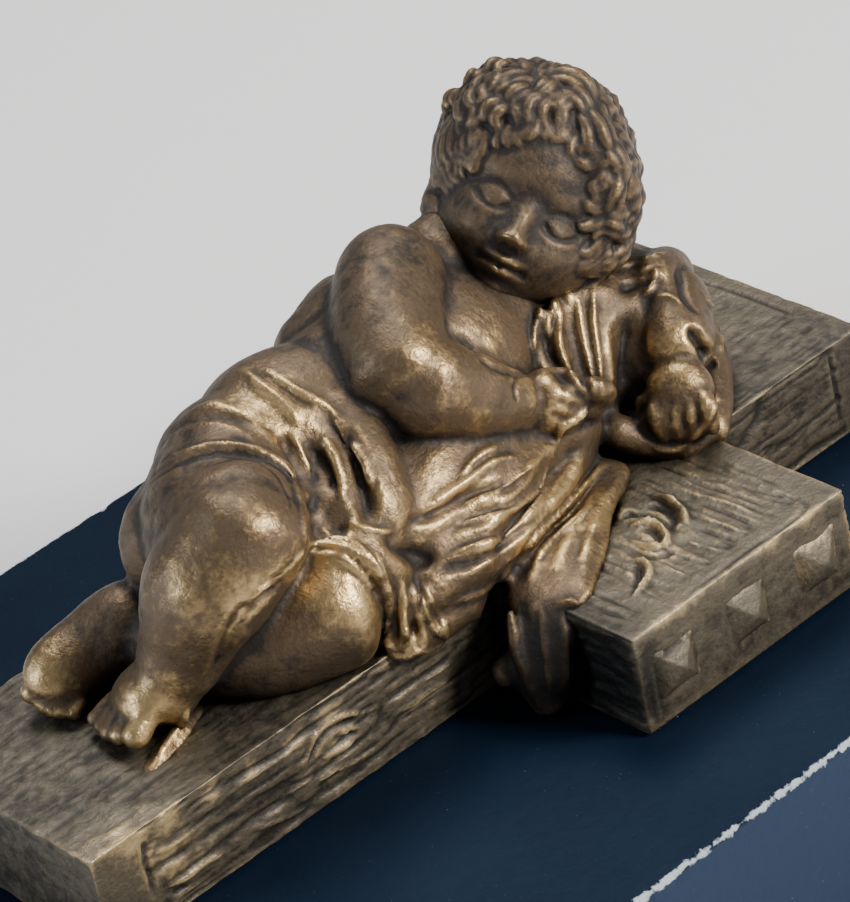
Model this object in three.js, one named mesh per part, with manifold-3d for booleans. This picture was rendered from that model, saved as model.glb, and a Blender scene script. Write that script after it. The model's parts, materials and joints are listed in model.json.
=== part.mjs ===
// A small cast bronze putto asleep on a timber cross, mounted on a black stone slab.
// Millimetres, +Z up. The origin is the centre of the slab's underside, +X runs from the
// foot of the cross to its head, and -Y is the front.
import * as THREE from "three";
import { mergeVertices } from "three/addons/utils/BufferGeometryUtils.js";
import Module from "manifold-3d";

// The cross, lying flat on the slab
const crossLength = 130;
const crossThickness = 14;
const beamWidth = 37.4;
const crossbarWidth = 36.8;
const crossbarReach = 23.6; // how far each arm stands out past the beam
const crossbarFromFoot = 64.9;
const timberArris = 0.5; // the worn edges of the timber
const castingGap = 0.3; // the bronze sits this far above the stone

// The stone slab
const slabEndMargin = 13.5; // stone left clear past the ends of the beam
const slabSideMargin = 18; // stone left clear past the ends of the crossbar
const slabLength = crossLength + 2 * slabEndMargin;
const slabDepth = beamWidth + 2 * (crossbarReach + slabSideMargin);
const slabHeight = 25;
const slabArris = 0.9; // the worn edge round the stone
const crossSetBack = 2.6; // the cross stands this far behind the middle of the slab

// Carving on the timber: studs on the ends of the crossbar and a knot on its front arm
const studCount = 3;
const studPitch = crossbarWidth / studCount;
const studSize = 0.54 * studPitch;
const studHeight = 1.6;
const studSink = 0.3;
const knotRadius = 4.4;
const knotBead = 0.75;

// The child and its drapery are placed in shares of the length from toes to crown, from the
// inner corner between the beam's front edge and the crossbar
const figureLength = 104;
const unit = figureLength / 104;
const cornerShare = 0.624; // how far along the child that corner is
const figureStart = new THREE.Vector3(crossbarFromFoot - cornerShare * figureLength, 0, 0);
const foldShare = 1.1; // the thickness of a fold, at the figure's own size

const wasm = await Module();
wasm.setup();
const vector = ([x, y, z]) => new THREE.Vector3(x, y, z);
const placed = ([x, y, z]) => new THREE.Vector3(x, y, z).multiplyScalar(unit).add(figureStart);

// A closed geometry as a solid, and back again
function solidOf(geometry) {
  const bare = geometry.index ? geometry.toNonIndexed() : geometry.clone();
  const shape = new THREE.BufferGeometry().setAttribute("position", bare.getAttribute("position"));
  const merged = mergeVertices(shape, 1e-4);
  const mesh = new wasm.Mesh({
    numProp: 3,
    vertProperties: new Float32Array(merged.attributes.position.array),
    triVerts: new Uint32Array(merged.index.array),
  });
  return new wasm.Manifold(mesh);
}

function geometryOf(solid) {
  const mesh = solid.getMesh();
  const geometry = new THREE.BufferGeometry();
  geometry.setAttribute("position", new THREE.BufferAttribute(new Float32Array(mesh.vertProperties), 3));
  geometry.setIndex(new THREE.BufferAttribute(new Uint32Array(mesh.triVerts), 1));
  const faceted = geometry.toNonIndexed();
  faceted.computeVertexNormals();
  return faceted;
}

const joined = (solids) => solids.reduce((whole, next) => whole.add(next));

function block(x0, x1, y0, y1, z0, z1) {
  const box = new THREE.BoxGeometry(x1 - x0, y1 - y0, z1 - z0);
  return solidOf(box.translate((x0 + x1) / 2, (y0 + y1) / 2, (z0 + z1) / 2));
}

// A rounded limb. Each station is [x, y, z, half width, half depth], and wide is the direction
// of the widths, which may turn from one end to the other. Stations are given at the figure's
// own size, from the foot and front edge of the beam and above the top of the cross.
function limb(stations, { wide = [0, 0, 1], wideEnd = wide, sides = 12, rings = 8 } = {}) {
  const line = new THREE.CatmullRomCurve3(stations.map(placed));
  const sizes = new THREE.CatmullRomCurve3(
    stations.map((s) => new THREE.Vector3(s[3], s[4] ?? s[3], 0).multiplyScalar(unit)),
  );
  const length = line.getLength();
  const ball = new THREE.SphereGeometry(1, sides, rings);
  const place = ball.getAttribute("position");
  const widths = [vector(wide), vector(wideEnd)];
  for (let i = 0; i < place.count; i++) {
    const point = new THREE.Vector3().fromBufferAttribute(place, i);
    const polar = Math.acos(THREE.MathUtils.clamp(point.y, -1, 1)) / Math.PI;
    const share = 0.55 * polar + 0.45 * (1 - Math.cos(polar * Math.PI)) / 2;
    const size = sizes.getPoint(share);
    const along = share * length;
    const cap = Math.min(along, length - along) / Math.min(size.x, size.y, length / 2);
    const round = cap < 1 ? Math.sqrt(Math.max(0, 1 - (1 - cap) ** 2)) : 1;
    const ring = Math.hypot(point.x, point.z) || 1;
    const centre = line.getPoint(share);
    const ahead = line.getTangent(share);
    const side = widths[0].clone().lerp(widths[1], share);
    side.addScaledVector(ahead, -side.dot(ahead)).normalize();
    const other = new THREE.Vector3().crossVectors(ahead, side);
    centre.addScaledVector(side, (point.x / ring) * size.x * round);
    centre.addScaledVector(other, (point.z / ring) * size.y * round);
    if (polar < 1e-6 || polar > 1 - 1e-6) centre.copy(line.getPoint(share));
    place.setXYZ(i, centre.x, centre.y, centre.z);
  }
  const solid = solidOf(ball);
  return solid.volume() < 0 ? solidOf(turnedOver(ball)) : solid;
}

function turnedOver(geometry) {
  const index = geometry.index.array;
  for (let i = 0; i < index.length; i += 3) [index[i + 1], index[i + 2]] = [index[i + 2], index[i + 1]];
  return geometry;
}

// Folds of cloth that run from one guide line to another: each fold is a thin limb whose
// points lie between the same points of the two guides.
function folds(guideA, guideB, count, fullness) {
  return Array.from({ length: count }, (_, i) => {
    const share = i / (count - 1);
    const stations = guideA.map((a, k) => {
      const p = vector(a).lerp(vector(guideB[k]), share);
      const swell = Math.sin((Math.PI * (k + 0.5)) / guideA.length);
      return [p.x, p.y, p.z, foldShare * (0.45 + (fullness - 0.45) * swell)];
    });
    return limb(stations, { sides: 6, rings: 6 });
  });
}

// A flat block with worn edges, from the corners of its plan
function wornBlock(corners, height, arris) {
  const plan = new THREE.Shape(corners.map(([x, y]) => new THREE.Vector2(x, y)));
  const block = new THREE.ExtrudeGeometry(plan, {
    depth: height - 2 * arris, bevelSize: arris, bevelOffset: -arris, bevelThickness: arris,
    bevelSegments: 1,
  });
  return solidOf(block.translate(0, 0, arris));
}

// The cross, in its own frame: x from the foot, y from the beam's front edge, z above the top
function timberCross() {
  const x0 = crossbarFromFoot;
  const x1 = crossbarFromFoot + crossbarWidth;
  const y0 = -crossbarReach;
  const y1 = beamWidth + crossbarReach;
  const corners = [
    [0, 0], [x0, 0], [x0, y0], [x1, y0], [x1, 0], [crossLength, 0],
    [crossLength, beamWidth], [x1, beamWidth], [x1, y1], [x0, y1], [x0, beamWidth], [0, beamWidth],
  ];
  const timber = wornBlock(corners, crossThickness, timberArris).translate(0, 0, -crossThickness);
  return joined([timber, ...studs(), ...woodKnot()]);
}

// Pyramid studs on the two ends of the crossbar
function studs() {
  const made = [];
  const height = studHeight + studSink;
  const radius = (studSize * height) / studHeight / Math.SQRT2;
  for (const [face, outward] of [[-crossbarReach, -1], [beamWidth + crossbarReach, 1]]) {
    for (let i = 0; i < studCount; i++) {
      const pyramid = new THREE.ConeGeometry(radius, height, 4, 1);
      pyramid.rotateY(Math.PI / 4);
      if (outward < 0) pyramid.rotateX(Math.PI);
      const x = crossbarFromFoot + (i + 0.5) * studPitch;
      pyramid.translate(x, face + outward * (studHeight - height / 2), -crossThickness / 2);
      made.push(solidOf(pyramid));
    }
  }
  return made;
}

// The curled ridges round a knot in the timber, on top of the front arm
function woodKnot() {
  const x = crossbarFromFoot + crossbarWidth * 0.46;
  const y = -crossbarReach * 0.4;
  const curl = (radius, bead, from) => {
    const ring = new THREE.TorusGeometry(radius, bead, 6, 16);
    ring.scale(1, 0.8, 1);
    return solidOf(ring.translate(x + from, y, 0));
  };
  return [curl(knotRadius, knotBead, 0), curl(knotRadius * 0.5, knotBead * 0.8, -knotRadius * 0.2)];
}

// The head: a ball shaped by a few broad forms, with rows of curls over the scalp. Directions
// are [left, up, forward] of the child's own head.
function head() {
  const centre = placed([100.2, 22.5, 28.4]);
  const face = new THREE.Vector3(-0.724, -0.632, 0.281).normalize();
  const crown = new THREE.Vector3(0.512, -0.31, 0.801);
  crown.addScaledVector(face, -crown.dot(face)).normalize();
  const left = new THREE.Vector3().crossVectors(crown, face);
  const ball = new THREE.SphereGeometry(1, 36, 25);
  const place = ball.getAttribute("position");
  const forms = [
    [[0, -0.72, 0.7], 0.3, 1.0], // jaw
    [[0, -0.72, 0.72], 0.12, 1.0], // chin
    [[0.42, -0.38, 0.8], 0.24, 1.0], // cheeks
    [[-0.42, -0.38, 0.8], 0.24, 1.0],
    [[0, -0.12, 1], 0.1, 1.0], // bridge and tip of the nose
    [[0, -0.24, 0.97], 0.09, 1.9],
    [[0, -0.5, 0.87], 0.1, 0.8], // lips
    [[0.34, -0.02, 0.93], 0.13, -1.1], // eye sockets and closed lids
    [[-0.34, -0.02, 0.93], 0.13, -1.1],
    [[0.34, -0.04, 0.93], 0.075, 0.9],
    [[-0.34, -0.04, 0.93], 0.075, 0.9],
  ].map(([at, width, height]) => [vector(at).normalize(), 2 * width * width, height * unit]);
  const curls = 80;
  const turn = Math.PI * (3 - Math.sqrt(5));
  const curlAt = [];
  for (let i = 0; i < curls; i++) {
    const up = 1 - (2 * (i + 0.5)) / curls;
    const wide = Math.sqrt(1 - up * up);
    curlAt.push(new THREE.Vector3(wide * Math.cos(i * turn), up, wide * Math.sin(i * turn)));
  }
  for (let i = 0; i < place.count; i++) {
    const d = new THREE.Vector3().fromBufferAttribute(place, i).normalize();
    // rows of points are drawn together round the face
    const round = Math.atan2(d.x, d.z);
    const rise = Math.asin(THREE.MathUtils.clamp(d.y, -1, 1));
    const turned = round - 0.5 * Math.sin(round);
    const raised = rise - 0.16 * Math.sin(2 * rise) - 0.12 * Math.cos(rise) ** 2;
    d.set(Math.cos(raised) * Math.sin(turned), Math.sin(raised), Math.cos(raised) * Math.cos(turned));
    const skull = [12.4, d.y > 0 ? 14.6 : 15.4, d.z > 0 ? 12.5 : 13.4].map((v) => v * unit);
    let radius = 1 / Math.hypot(d.x / skull[0], d.y / skull[1], d.z / skull[2]);
    const scalp = 0.75 * d.y - 1.05 * d.z + 0.62 * Math.abs(d.x) + 0.22;
    const hair = THREE.MathUtils.smoothstep(scalp, -0.04, 0.1) * (d.y > -0.75 ? 1 : 0.3);
    for (const [at, spread, height] of forms) {
      radius += (1 - hair) * height * Math.exp(-d.distanceToSquared(at) / spread);
    }
    const near = curlAt.reduce((best, c) => Math.min(best, c.distanceTo(d)), 2);
    const thick = 1.1 - 0.9 * Math.min(0, d.x) * Math.max(0, d.y + 0.5);
    radius += hair * unit * (thick + 1.1 * Math.exp(-((near / 0.15) ** 2)));
    const p = centre.clone();
    p.addScaledVector(left, d.x * radius);
    p.addScaledVector(crown, d.y * radius);
    p.addScaledVector(face, d.z * radius);
    place.setXYZ(i, p.x, p.y, p.z);
  }
  const solid = solidOf(ball);
  return solid.volume() < 0 ? solidOf(turnedOver(ball)) : solid;
}

// Trunk, arms and legs
function body() {
  const trunk = limb(
    [
      [42, 21, 16, 9, 8], [50, 21, 16.5, 12.2, 11], [60, 20, 17, 12.4, 10.6],
      [70, 19, 18, 13.2, 10.2], [79, 19.2, 18.6, 13, 9.2], [86, 20.5, 18.4, 10, 7.6],
      [95, 22.4, 20, 6.5, 6.5],
    ],
    { wide: [-0.2, 0.35, 0.92], wideEnd: [-0.45, 0.6, 0.66], sides: 16, rings: 11 },
  );
  const back = limb(
    [
      [80, 28, 25, 6.5], [75, 28, 23, 8], [70.4, 26, 21.2, 9], [66, 26, 18.6, 9.5], [60, 25, 17, 9.5],
    ],
    { sides: 12, rings: 8 },
  );
  const nape = limb(
    [[80, 26, 25, 6], [87, 25.6, 25.4, 6.4], [95, 25, 26, 7]],
    { sides: 10, rings: 6 },
  );
  const hamstring = limb(
    [[50, 26, 13, 9], [43, 23.5, 14, 9], [36.5, 20.5, 14.4, 8.6], [33, 16.5, 14, 7]],
    { sides: 12, rings: 7 },
  );
  const rightArm = limb(
    [
      [82, 26, 28, 6.2], [77, 23.5, 29, 7], [70, 17.5, 27.8, 7], [66, 11, 25.4, 6.5],
      [63.5, 7.5, 23.6, 5.8],
    ],
    { sides: 12 },
  );
  const rightForearm = limb(
    [
      [63, 9.5, 26.5, 5.8], [67, 9.5, 23.8, 6.3], [72.5, 8.8, 19.3, 6], [77.4, 7.8, 15.4, 4.7],
      [80.5, 7, 13.2, 4],
    ],
    { sides: 12 },
  );
  const rightThigh = limb(
    [
      [56, 24.5, 17, 9], [50.5, 22.4, 17.8, 10.6], [43, 18.6, 17.4, 10.8], [38, 13.2, 18, 10],
      [37.6, 8.4, 20.6, 8.6], [37, 4.4, 22, 6.6],
    ],
    { sides: 12 },
  );
  const rightShin = limb(
    [
      [41.5, 8, 25.5, 7.2], [37.5, 8.4, 21.5, 8], [30.8, 9.6, 16, 7.9], [26.4, 11.4, 9, 5.4],
      [23.4, 12.4, 3.6, 4.6],
    ],
    { sides: 12 },
  );
  const rightFoot = limb(
    [
      [27.5, 12, 3.2, 3.8], [23.5, 12, 4.8, 4.8], [20.5, 12, 5.2, 5, 4.4],
      [15.8, 12.3, 4.4, 4.8, 3.2],
    ],
    { wide: [0.1, -0.8, -0.5], sides: 12 },
  );
  const leftThigh = limb(
    [
      [60, 18, 13, 9], [54, 13.4, 12.2, 9.8], [48.6, 7, 9, 8.8], [45.6, 3.8, 7.4, 8],
      [44, 1.6, 6.4, 6],
    ],
    { sides: 12 },
  );
  const leftShin = limb(
    [
      [49.4, 3, 7, 6.2], [45, 4.8, 6.8, 7.9], [37.6, 9.6, 5.2, 7.8], [31.8, 16, 5.2, 6.4],
      [28, 24, 6.2, 5.2],
    ],
    { sides: 12 },
  );
  const leftFoot = limb(
    [[32.5, 23.6, 6.2, 4.4], [28.4, 25, 6.4, 5.4], [23.6, 26.6, 5.4, 5, 4.8], [17.8, 27.9, 4, 4.6, 3.6]],
    { wide: [0.1, 0.45, 0.85], sides: 12 },
  );
  const leftArm = limb(
    [[111.5, 14, 10.6, 5], [108, 10.5, 11.6, 5.6], [103.6, 5, 10.4, 5.2], [101, 2, 8.4, 4.6]],
    { sides: 12 },
  );
  const neck = limb(
    [[86, 21, 17.5, 5], [92, 21.5, 20.5, 5.8], [99, 22.4, 25, 6]],
    { sides: 10, rings: 6 },
  );
  const betweenKnees = limb(
    [[46, 10, 12, 4], [41, 9, 13, 4.6], [36, 10.5, 12, 3.6]],
    { sides: 10, rings: 7 },
  );
  return [
    trunk, back, neck, nape, betweenKnees, rightArm, rightForearm, rightThigh, hamstring, rightShin,
    rightFoot, leftThigh, leftShin, leftFoot, leftArm,
    ...toes([18.2, 12.2, 4.6], [-0.95, -0.05, -0.2], [0.1, -0.8, -0.5], 2),
    ...toes([19.6, 27.6, 4.4], [-0.97, 0.1, -0.15], [-0.1, -0.45, -0.85], 1.85),
    ...hand([82.4, 6.2, 11.8], [0.72, -0.1, -0.68], [-0.45, 0.5, -0.74], [-0.1, -0.8, 0.4], 4.6),
    ...hand([100, 0.6, 7], [-0.6, -0.55, -0.58], [-0.62, 0.78, -0.1], [-0.5, -0.3, 0.8], 4.7),
  ];
}

// Five toes in a row across the front of a foot
function toes(root, ahead, across, size) {
  const made = [];
  for (let i = 0; i < 5; i++) {
    const step = (i - 1.9) * 0.82 * size;
    const big = i === 0 ? 1.25 : 1 - 0.06 * i;
    const from = vector(root).addScaledVector(vector(across), step);
    const to = from.clone().addScaledVector(vector(ahead), size * (2.3 + 0.35 * big));
    const middle = from.clone().lerp(to, 0.5);
    made.push(limb(
      [[...from, size * 0.55 * big], [...middle, size * 0.62 * big], [...to, size * 0.6 * big]],
      { sides: 6, rings: 5 },
    ));
  }
  return made;
}

// A loosely closed hand: the back of the hand, four bent fingers and a thumb
function hand(centre, ahead, across, out, size) {
  const a = vector(ahead).normalize();
  const c = vector(across).normalize();
  const o = vector(out).normalize();
  const spot = (along, beside, above) => [
    ...vector(centre).addScaledVector(a, along * size).addScaledVector(c,
    beside * size).addScaledVector(o, above * size),
  ];
  const palm = limb(
    [[...spot(-0.95, 0, 0), 0.78 * size, 0.7 * size], [...spot(0, 0, 0.05), 0.98 * size, 0.72 * size],
      [...spot(0.85, 0, -0.05), 0.9 * size, 0.6 * size]],
    { wide: across, sides: 10, rings: 7 },
  );
  const fingers = [];
  for (let i = 0; i < 4; i++) {
    const beside = (i - 1.5) * 0.46;
    const girth = (0.27 - 0.015 * i) * size;
    fingers.push(limb(
      [[...spot(0.35, beside, 0.3), girth], [...spot(0.9, beside, 0.32), girth * 1.1],
        [...spot(1.3, beside * 0.95, -0.05), girth], [...spot(1.25, beside * 0.9, -0.5), girth * 0.8]],
      { sides: 6, rings: 6 },
    ));
  }
  const thumb = limb(
    [
      [...spot(-0.2, 0.75, 0.1), 0.3 * size], [...spot(0.4, 1.0, 0.1), 0.32 * size],
      [...spot(0.95, 0.8, 0), 0.24 * size],
    ],
    { sides: 6, rings: 5 },
  );
  return [palm, ...fingers, thumb];
}

// The cloth: a loincloth round the hips, a gathered sheet under the body and a bundle under the head
function drapery() {
  const hipWrap = limb(
    [
      [44, 22.5, 16, 9.4, 8], [50, 22, 17, 12.8, 11.8], [57, 21, 17, 12.8, 11.6],
      [63, 19.5, 15, 11.4, 10.6], [68, 17, 10, 9, 9],
    ],
    { wide: [-0.2, 0.35, 0.92], sides: 16, rings: 9 },
  );
  const thighWrap = limb(
    [[56, 25, 17, 9], [50.5, 22.6, 17.8, 11.1], [45, 19.8, 17.6, 11.3], [41.5, 16.4, 18, 10.7]],
    { sides: 14, rings: 8 },
  );
  const sheet = limb(
    [
      [48, 5, 1.5, 6, 2.6], [54, 5, 3.5, 8.5, 5], [63, 6, 4.5, 10.5, 6.5], [73, 8, 4.5, 10, 6.5],
      [82, 11, 4, 9, 6], [90, 14, 3, 7, 4],
    ],
    { wide: [-0.1, 1, -0.25], sides: 12, rings: 8 },
  );
  const belly = limb(
    [
      [50, 6, 8, 5, 4], [57, 6.5, 10, 8, 6], [66, 8, 12, 9, 6], [75, 8.5, 10.5, 8, 5.5],
      [83, 9, 7.5, 6, 4.5],
    ],
    { wide: [-0.1, 0.7, 0.7], sides: 12, rings: 7 },
  );
  const bed = limb(
    [
      [34, 18, 2, 8, 4], [46, 20, 4.5, 12.5, 7], [60, 20.5, 6, 14, 8.5], [76, 20, 6.5, 14, 9],
      [92, 20, 5, 12, 8],
    ],
    { wide: [0, 1, 0], sides: 14, rings: 9 },
  );
  const lap = limb(
    [[58, 20, 21, 7, 5], [55, 13.5, 18.4, 8, 5.6], [52.5, 8, 14, 7.6, 5.4], [50.5, 4, 9.6, 6, 4.6]],
    { wide: [0.7, -0.2, 0.5], sides: 12, rings: 7 },
  );
  const gather = limb(
    [[77, 8, 8, 5], [84.5, 6.6, 9, 5.6], [91, 7.4, 7.6, 4.4]],
    { sides: 10, rings: 6 },
  );
  const bundle = limb(
    [
      [82, 21, 5, 8, 6], [92, 20, 8, 13.6, 9], [102, 20, 10, 15, 10.6], [110, 19.4, 7.6, 12, 8.4],
      [116.6, 18.6, 3.5, 8, 5],
    ],
    { wide: [0, 1, 0.05], sides: 14, rings: 8 },
  );
  const mantle = limb(
    [
      [116, 16, 2, 3.4], [113.6, 12, 3.2, 2.8], [110, 6.5, 2.6, 2.6], [105.4, 1.5, 1.6, 2.2],
      [100.5, -3, 0.6, 1.8],
    ],
    { sides: 10, rings: 8 },
  );
  const clothRoll = limb(
    [[103, 9.5, 15, 2.6], [107, 11, 15.6, 3.4], [111.5, 14, 13.5, 3.6], [115, 18, 10.5, 3.4]],
    { sides: 10, rings: 7 },
  );
  const flap = limb(
    [
      [90, 4.8, 1, 2.4, 1.8], [81.5, 1, 0.8, 3.4, 1.9], [73.6, -4, 0.5, 5, 1.7],
      [66.4, -9, 0, 4.8, 1.7], [63.6, -11, -1.4, 3.4, 1.6],
    ],
    { wide: [0.5, -1, 0], sides: 12, rings: 9 },
  );
  const tail = limb(
    [
      [66.4, -10.5, 0, 4, 2], [63.4, -9.6, -3.5, 4, 2], [62.8, -9, -8, 3.8, 1.9],
      [62.8, -8.8, -12.2, 3.2, 1.8],
    ],
    { wide: [0.35, -1, 0], sides: 10, rings: 7 },
  );
  const overhang = limb(
    [[47, 0.4, 0, 2.6], [52, -0.2, -0.8, 3.6], [57.5, -0.2, 0.4, 4.2], [63, 0, 1, 3.4]],
    { sides: 10, rings: 9 },
  );
  const bellyFolds = folds(
    [[85.5, 4.6, 6.8], [77.8, 3, 10], [69.2, 2.3, 12.6], [61, 2.2, 13.2]],
    [[83, 3, 5], [76, -0.4, 6.4], [66, -2.6, 7.4], [57.5, -2.6, 4]],
    5,
    1.15,
  );
  const neckFolds = folds(
    [[88.5, 11.4, 21.6], [87.4, 9.6, 19.6], [87.4, 8.6, 14], [85.8, 4.6, 11]],
    [[100, 10.4, 16.6], [97.8, 8, 14.6], [93.6, 6.4, 11.4], [89.6, 5.6, 7.4]],
    5,
    1.2,
  );
  const hemFolds = folds(
    [[51, 1, 7], [49.2, -0.6, 4], [48.8, -1.6, 0], [49.6, -1.8, -4]],
    [[58.6, -2.6, 4.4], [58.6, -3, 0.6], [59.6, -2.6, -3.4], [60, -1.6, -6.4]],
    4,
    1.2,
  );
  const thighHem = limb(
    [
      [36.6, 22.6, 22], [39.5, 18.6, 26], [42.4, 15.4, 26.8], [45, 12.4, 25.4],
      [46.5, 10.4, 22.6], [46.4, 8.4, 19],
    ].map(
      (p) => [...p, foldShare],
    ),
    { sides: 6, rings: 9 },
  );
  const kneeHem = limb(
    [[46.8, 8, 18], [46.4, 4, 16], [49.4, 1.4, 12.4], [50.8, -0.6, 7.6], [50.2, -1.4, 3]].map(
      (p) => [...p, foldShare],
    ),
    { sides: 6, rings: 9 },
  );
  const shoulderCloth = limb(
    [
      [91, 12.5, 21.5, 6, 2.8], [92.6, 10.2, 17, 6.6, 3.6], [93, 9, 11.5, 6.4, 4],
      [91.6, 7.6, 6.4, 4.4, 3],
    ],
    { wide: [0.8, -0.5, -0.2], sides: 12, rings: 8 },
  );
  return [
    hipWrap, thighWrap, bed, sheet, belly, lap, gather, bundle, mantle, clothRoll, flap, tail,
    overhang, shoulderCloth, thighHem, kneeHem,
    ...bellyFolds, ...neckFolds, ...hemFolds,
  ];
}

// The casting: cross, child and drapery are one piece of bronze, cut flat underneath
function casting() {
  const whole = joined([timberCross(), head(), ...body(), ...drapery()]);
  const reach = crossLength;
  const below = block(-reach, 2 * reach, -reach, 2 * reach, -3 * crossThickness, -crossThickness);
  return whole.subtract(below);
}

function slab() {
  const x = slabLength / 2;
  const y = slabDepth / 2;
  return wornBlock([[-x, -y], [x, -y], [x, y], [-x, y]], slabHeight, slabArris);
}

const part = new THREE.Group();

const stone = new THREE.MeshStandardMaterial({ color: 0x14181f, roughness: 0.42, metalness: 0 });
const slabMesh = new THREE.Mesh(geometryOf(slab()), stone);
slabMesh.name = "stone_slab";
part.add(slabMesh);

const bronze = new THREE.MeshStandardMaterial({ color: 0x6b5636, roughness: 0.42, metalness: 0.85 });
const castingMesh = new THREE.Mesh(geometryOf(casting()), bronze);
castingMesh.name = "bronze_putto_on_cross";
castingMesh.position.set(
  -crossLength / 2, crossSetBack - beamWidth / 2, slabHeight + castingGap + crossThickness,
);
part.add(castingMesh);

export default part;
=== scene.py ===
import bpy
import bmesh
import json
import math
import random
import numpy as np
from mathutils import Vector, Matrix
from mathutils.bvhtree import BVHTree

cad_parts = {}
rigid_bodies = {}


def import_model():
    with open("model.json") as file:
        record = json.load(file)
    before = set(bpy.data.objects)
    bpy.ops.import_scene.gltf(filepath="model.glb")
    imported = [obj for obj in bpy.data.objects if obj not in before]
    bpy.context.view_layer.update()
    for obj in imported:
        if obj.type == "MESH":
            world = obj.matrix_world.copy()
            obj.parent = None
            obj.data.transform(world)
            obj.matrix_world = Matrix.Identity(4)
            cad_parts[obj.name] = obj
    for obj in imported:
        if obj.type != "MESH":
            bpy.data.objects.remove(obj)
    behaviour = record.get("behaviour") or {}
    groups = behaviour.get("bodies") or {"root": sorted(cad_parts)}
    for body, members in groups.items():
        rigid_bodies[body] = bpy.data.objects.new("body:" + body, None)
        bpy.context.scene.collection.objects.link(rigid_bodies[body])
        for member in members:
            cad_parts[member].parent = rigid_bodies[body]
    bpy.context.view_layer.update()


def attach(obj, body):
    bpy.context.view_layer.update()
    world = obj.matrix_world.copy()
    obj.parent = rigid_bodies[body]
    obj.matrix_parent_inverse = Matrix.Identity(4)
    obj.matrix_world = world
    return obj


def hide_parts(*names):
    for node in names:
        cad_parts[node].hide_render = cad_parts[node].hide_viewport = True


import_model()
random.seed(11)
mm = 0.001

# Figure millimetres start at the foot and front edge of the beam, on top of the cross
figureOrigin = np.array([-65.0, -16.1, 39.3])

shot = {
    "azimuth": -35.74,
    "elevation": 32.28,
    "roll": -12.9,
    "target": (27.76, 30.8, 25.23),  # in the part's millimetres
    "distance": 631.25,
    "focalPixels": 4777.66,
    "width": 850,
    "height": 902,
}


def shotAxes():
    a, e, r = (math.radians(shot[k]) for k in ("azimuth", "elevation", "roll"))
    back = np.array([math.sin(a) * math.cos(e), -math.cos(a) * math.cos(e), math.sin(e)])
    side = np.array([math.cos(a), math.sin(a), 0.0])
    up = np.cross(back, side)
    right = math.cos(r) * side + math.sin(r) * up
    return right, -math.sin(r) * side + math.cos(r) * up, back


shotRight, shotUp, shotBack = shotAxes()
eye = np.array(shot["target"]) + shotBack * shot["distance"]
eyeInFigure = eye - figureOrigin


def addCamera():
    camera = bpy.data.objects.new("photoView", bpy.data.cameras.new("photoView"))
    turn = Matrix([[shotRight[i], shotUp[i], shotBack[i]] for i in range(3)]).to_4x4()
    camera.matrix_world = Matrix.Translation(Vector(eye * mm)) @ turn
    camera.data.sensor_width = 36
    camera.data.lens = shot["focalPixels"] * 36 / shot["height"]
    camera.data.clip_start = 0.01
    camera.data.clip_end = 20
    bpy.context.scene.collection.objects.link(camera)
    bpy.context.scene.camera = camera


addCamera()


# Helpers for modelling

def splinePoints(points, shares):
    # points on a smooth line through the stations, shares from 0 to 1
    points = np.asarray(points, float)
    padded = np.vstack([2 * points[0] - points[1], points, 2 * points[-1] - points[-2]])
    place = np.clip(shares, 0, 1) * (len(points) - 1)
    i = np.minimum(place.astype(int), len(points) - 2)
    t = (place - i)[:, None]
    p0, p1, p2, p3 = (padded[i + k] for k in range(4))

    def gap(a, b):
        return np.maximum(np.linalg.norm(b - a, axis=1, keepdims=True) ** 0.5, 1e-4)

    d0, d1, d2 = gap(p0, p1), gap(p1, p2), gap(p2, p3)
    m1 = ((p1 - p0) / d0 - (p2 - p0) / (d0 + d1) + (p2 - p1) / d1) * d1
    m2 = ((p2 - p1) / d1 - (p3 - p1) / (d1 + d2) + (p3 - p2) / d2) * d1
    a = 2 * p1 - 2 * p2 + m1 + m2
    b = -3 * p1 + 3 * p2 - 2 * m1 - m2
    return a * t ** 3 + b * t ** 2 + m1 * t + p1


def lineFrom(points, count):
    return splinePoints(points, np.linspace(0, 1, count))


def unit(v):
    return v / np.linalg.norm(v, axis=-1, keepdims=True)


def readPoints(mesh, what="co"):
    flat = np.empty(len(mesh.vertices) * 3, np.float32)
    mesh.vertices.foreach_get(what, flat)
    return flat.reshape(-1, 3).astype(float)


def readNormals(mesh):
    return readPoints(mesh, "normal")


def readEdges(mesh):
    flat = np.empty(len(mesh.edges) * 2, np.int32)
    mesh.edges.foreach_get("vertices", flat)
    return flat.reshape(-1, 2)


def writePoints(mesh, points):
    mesh.vertices.foreach_set("co", points.astype(np.float32).ravel())
    mesh.update()


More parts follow.
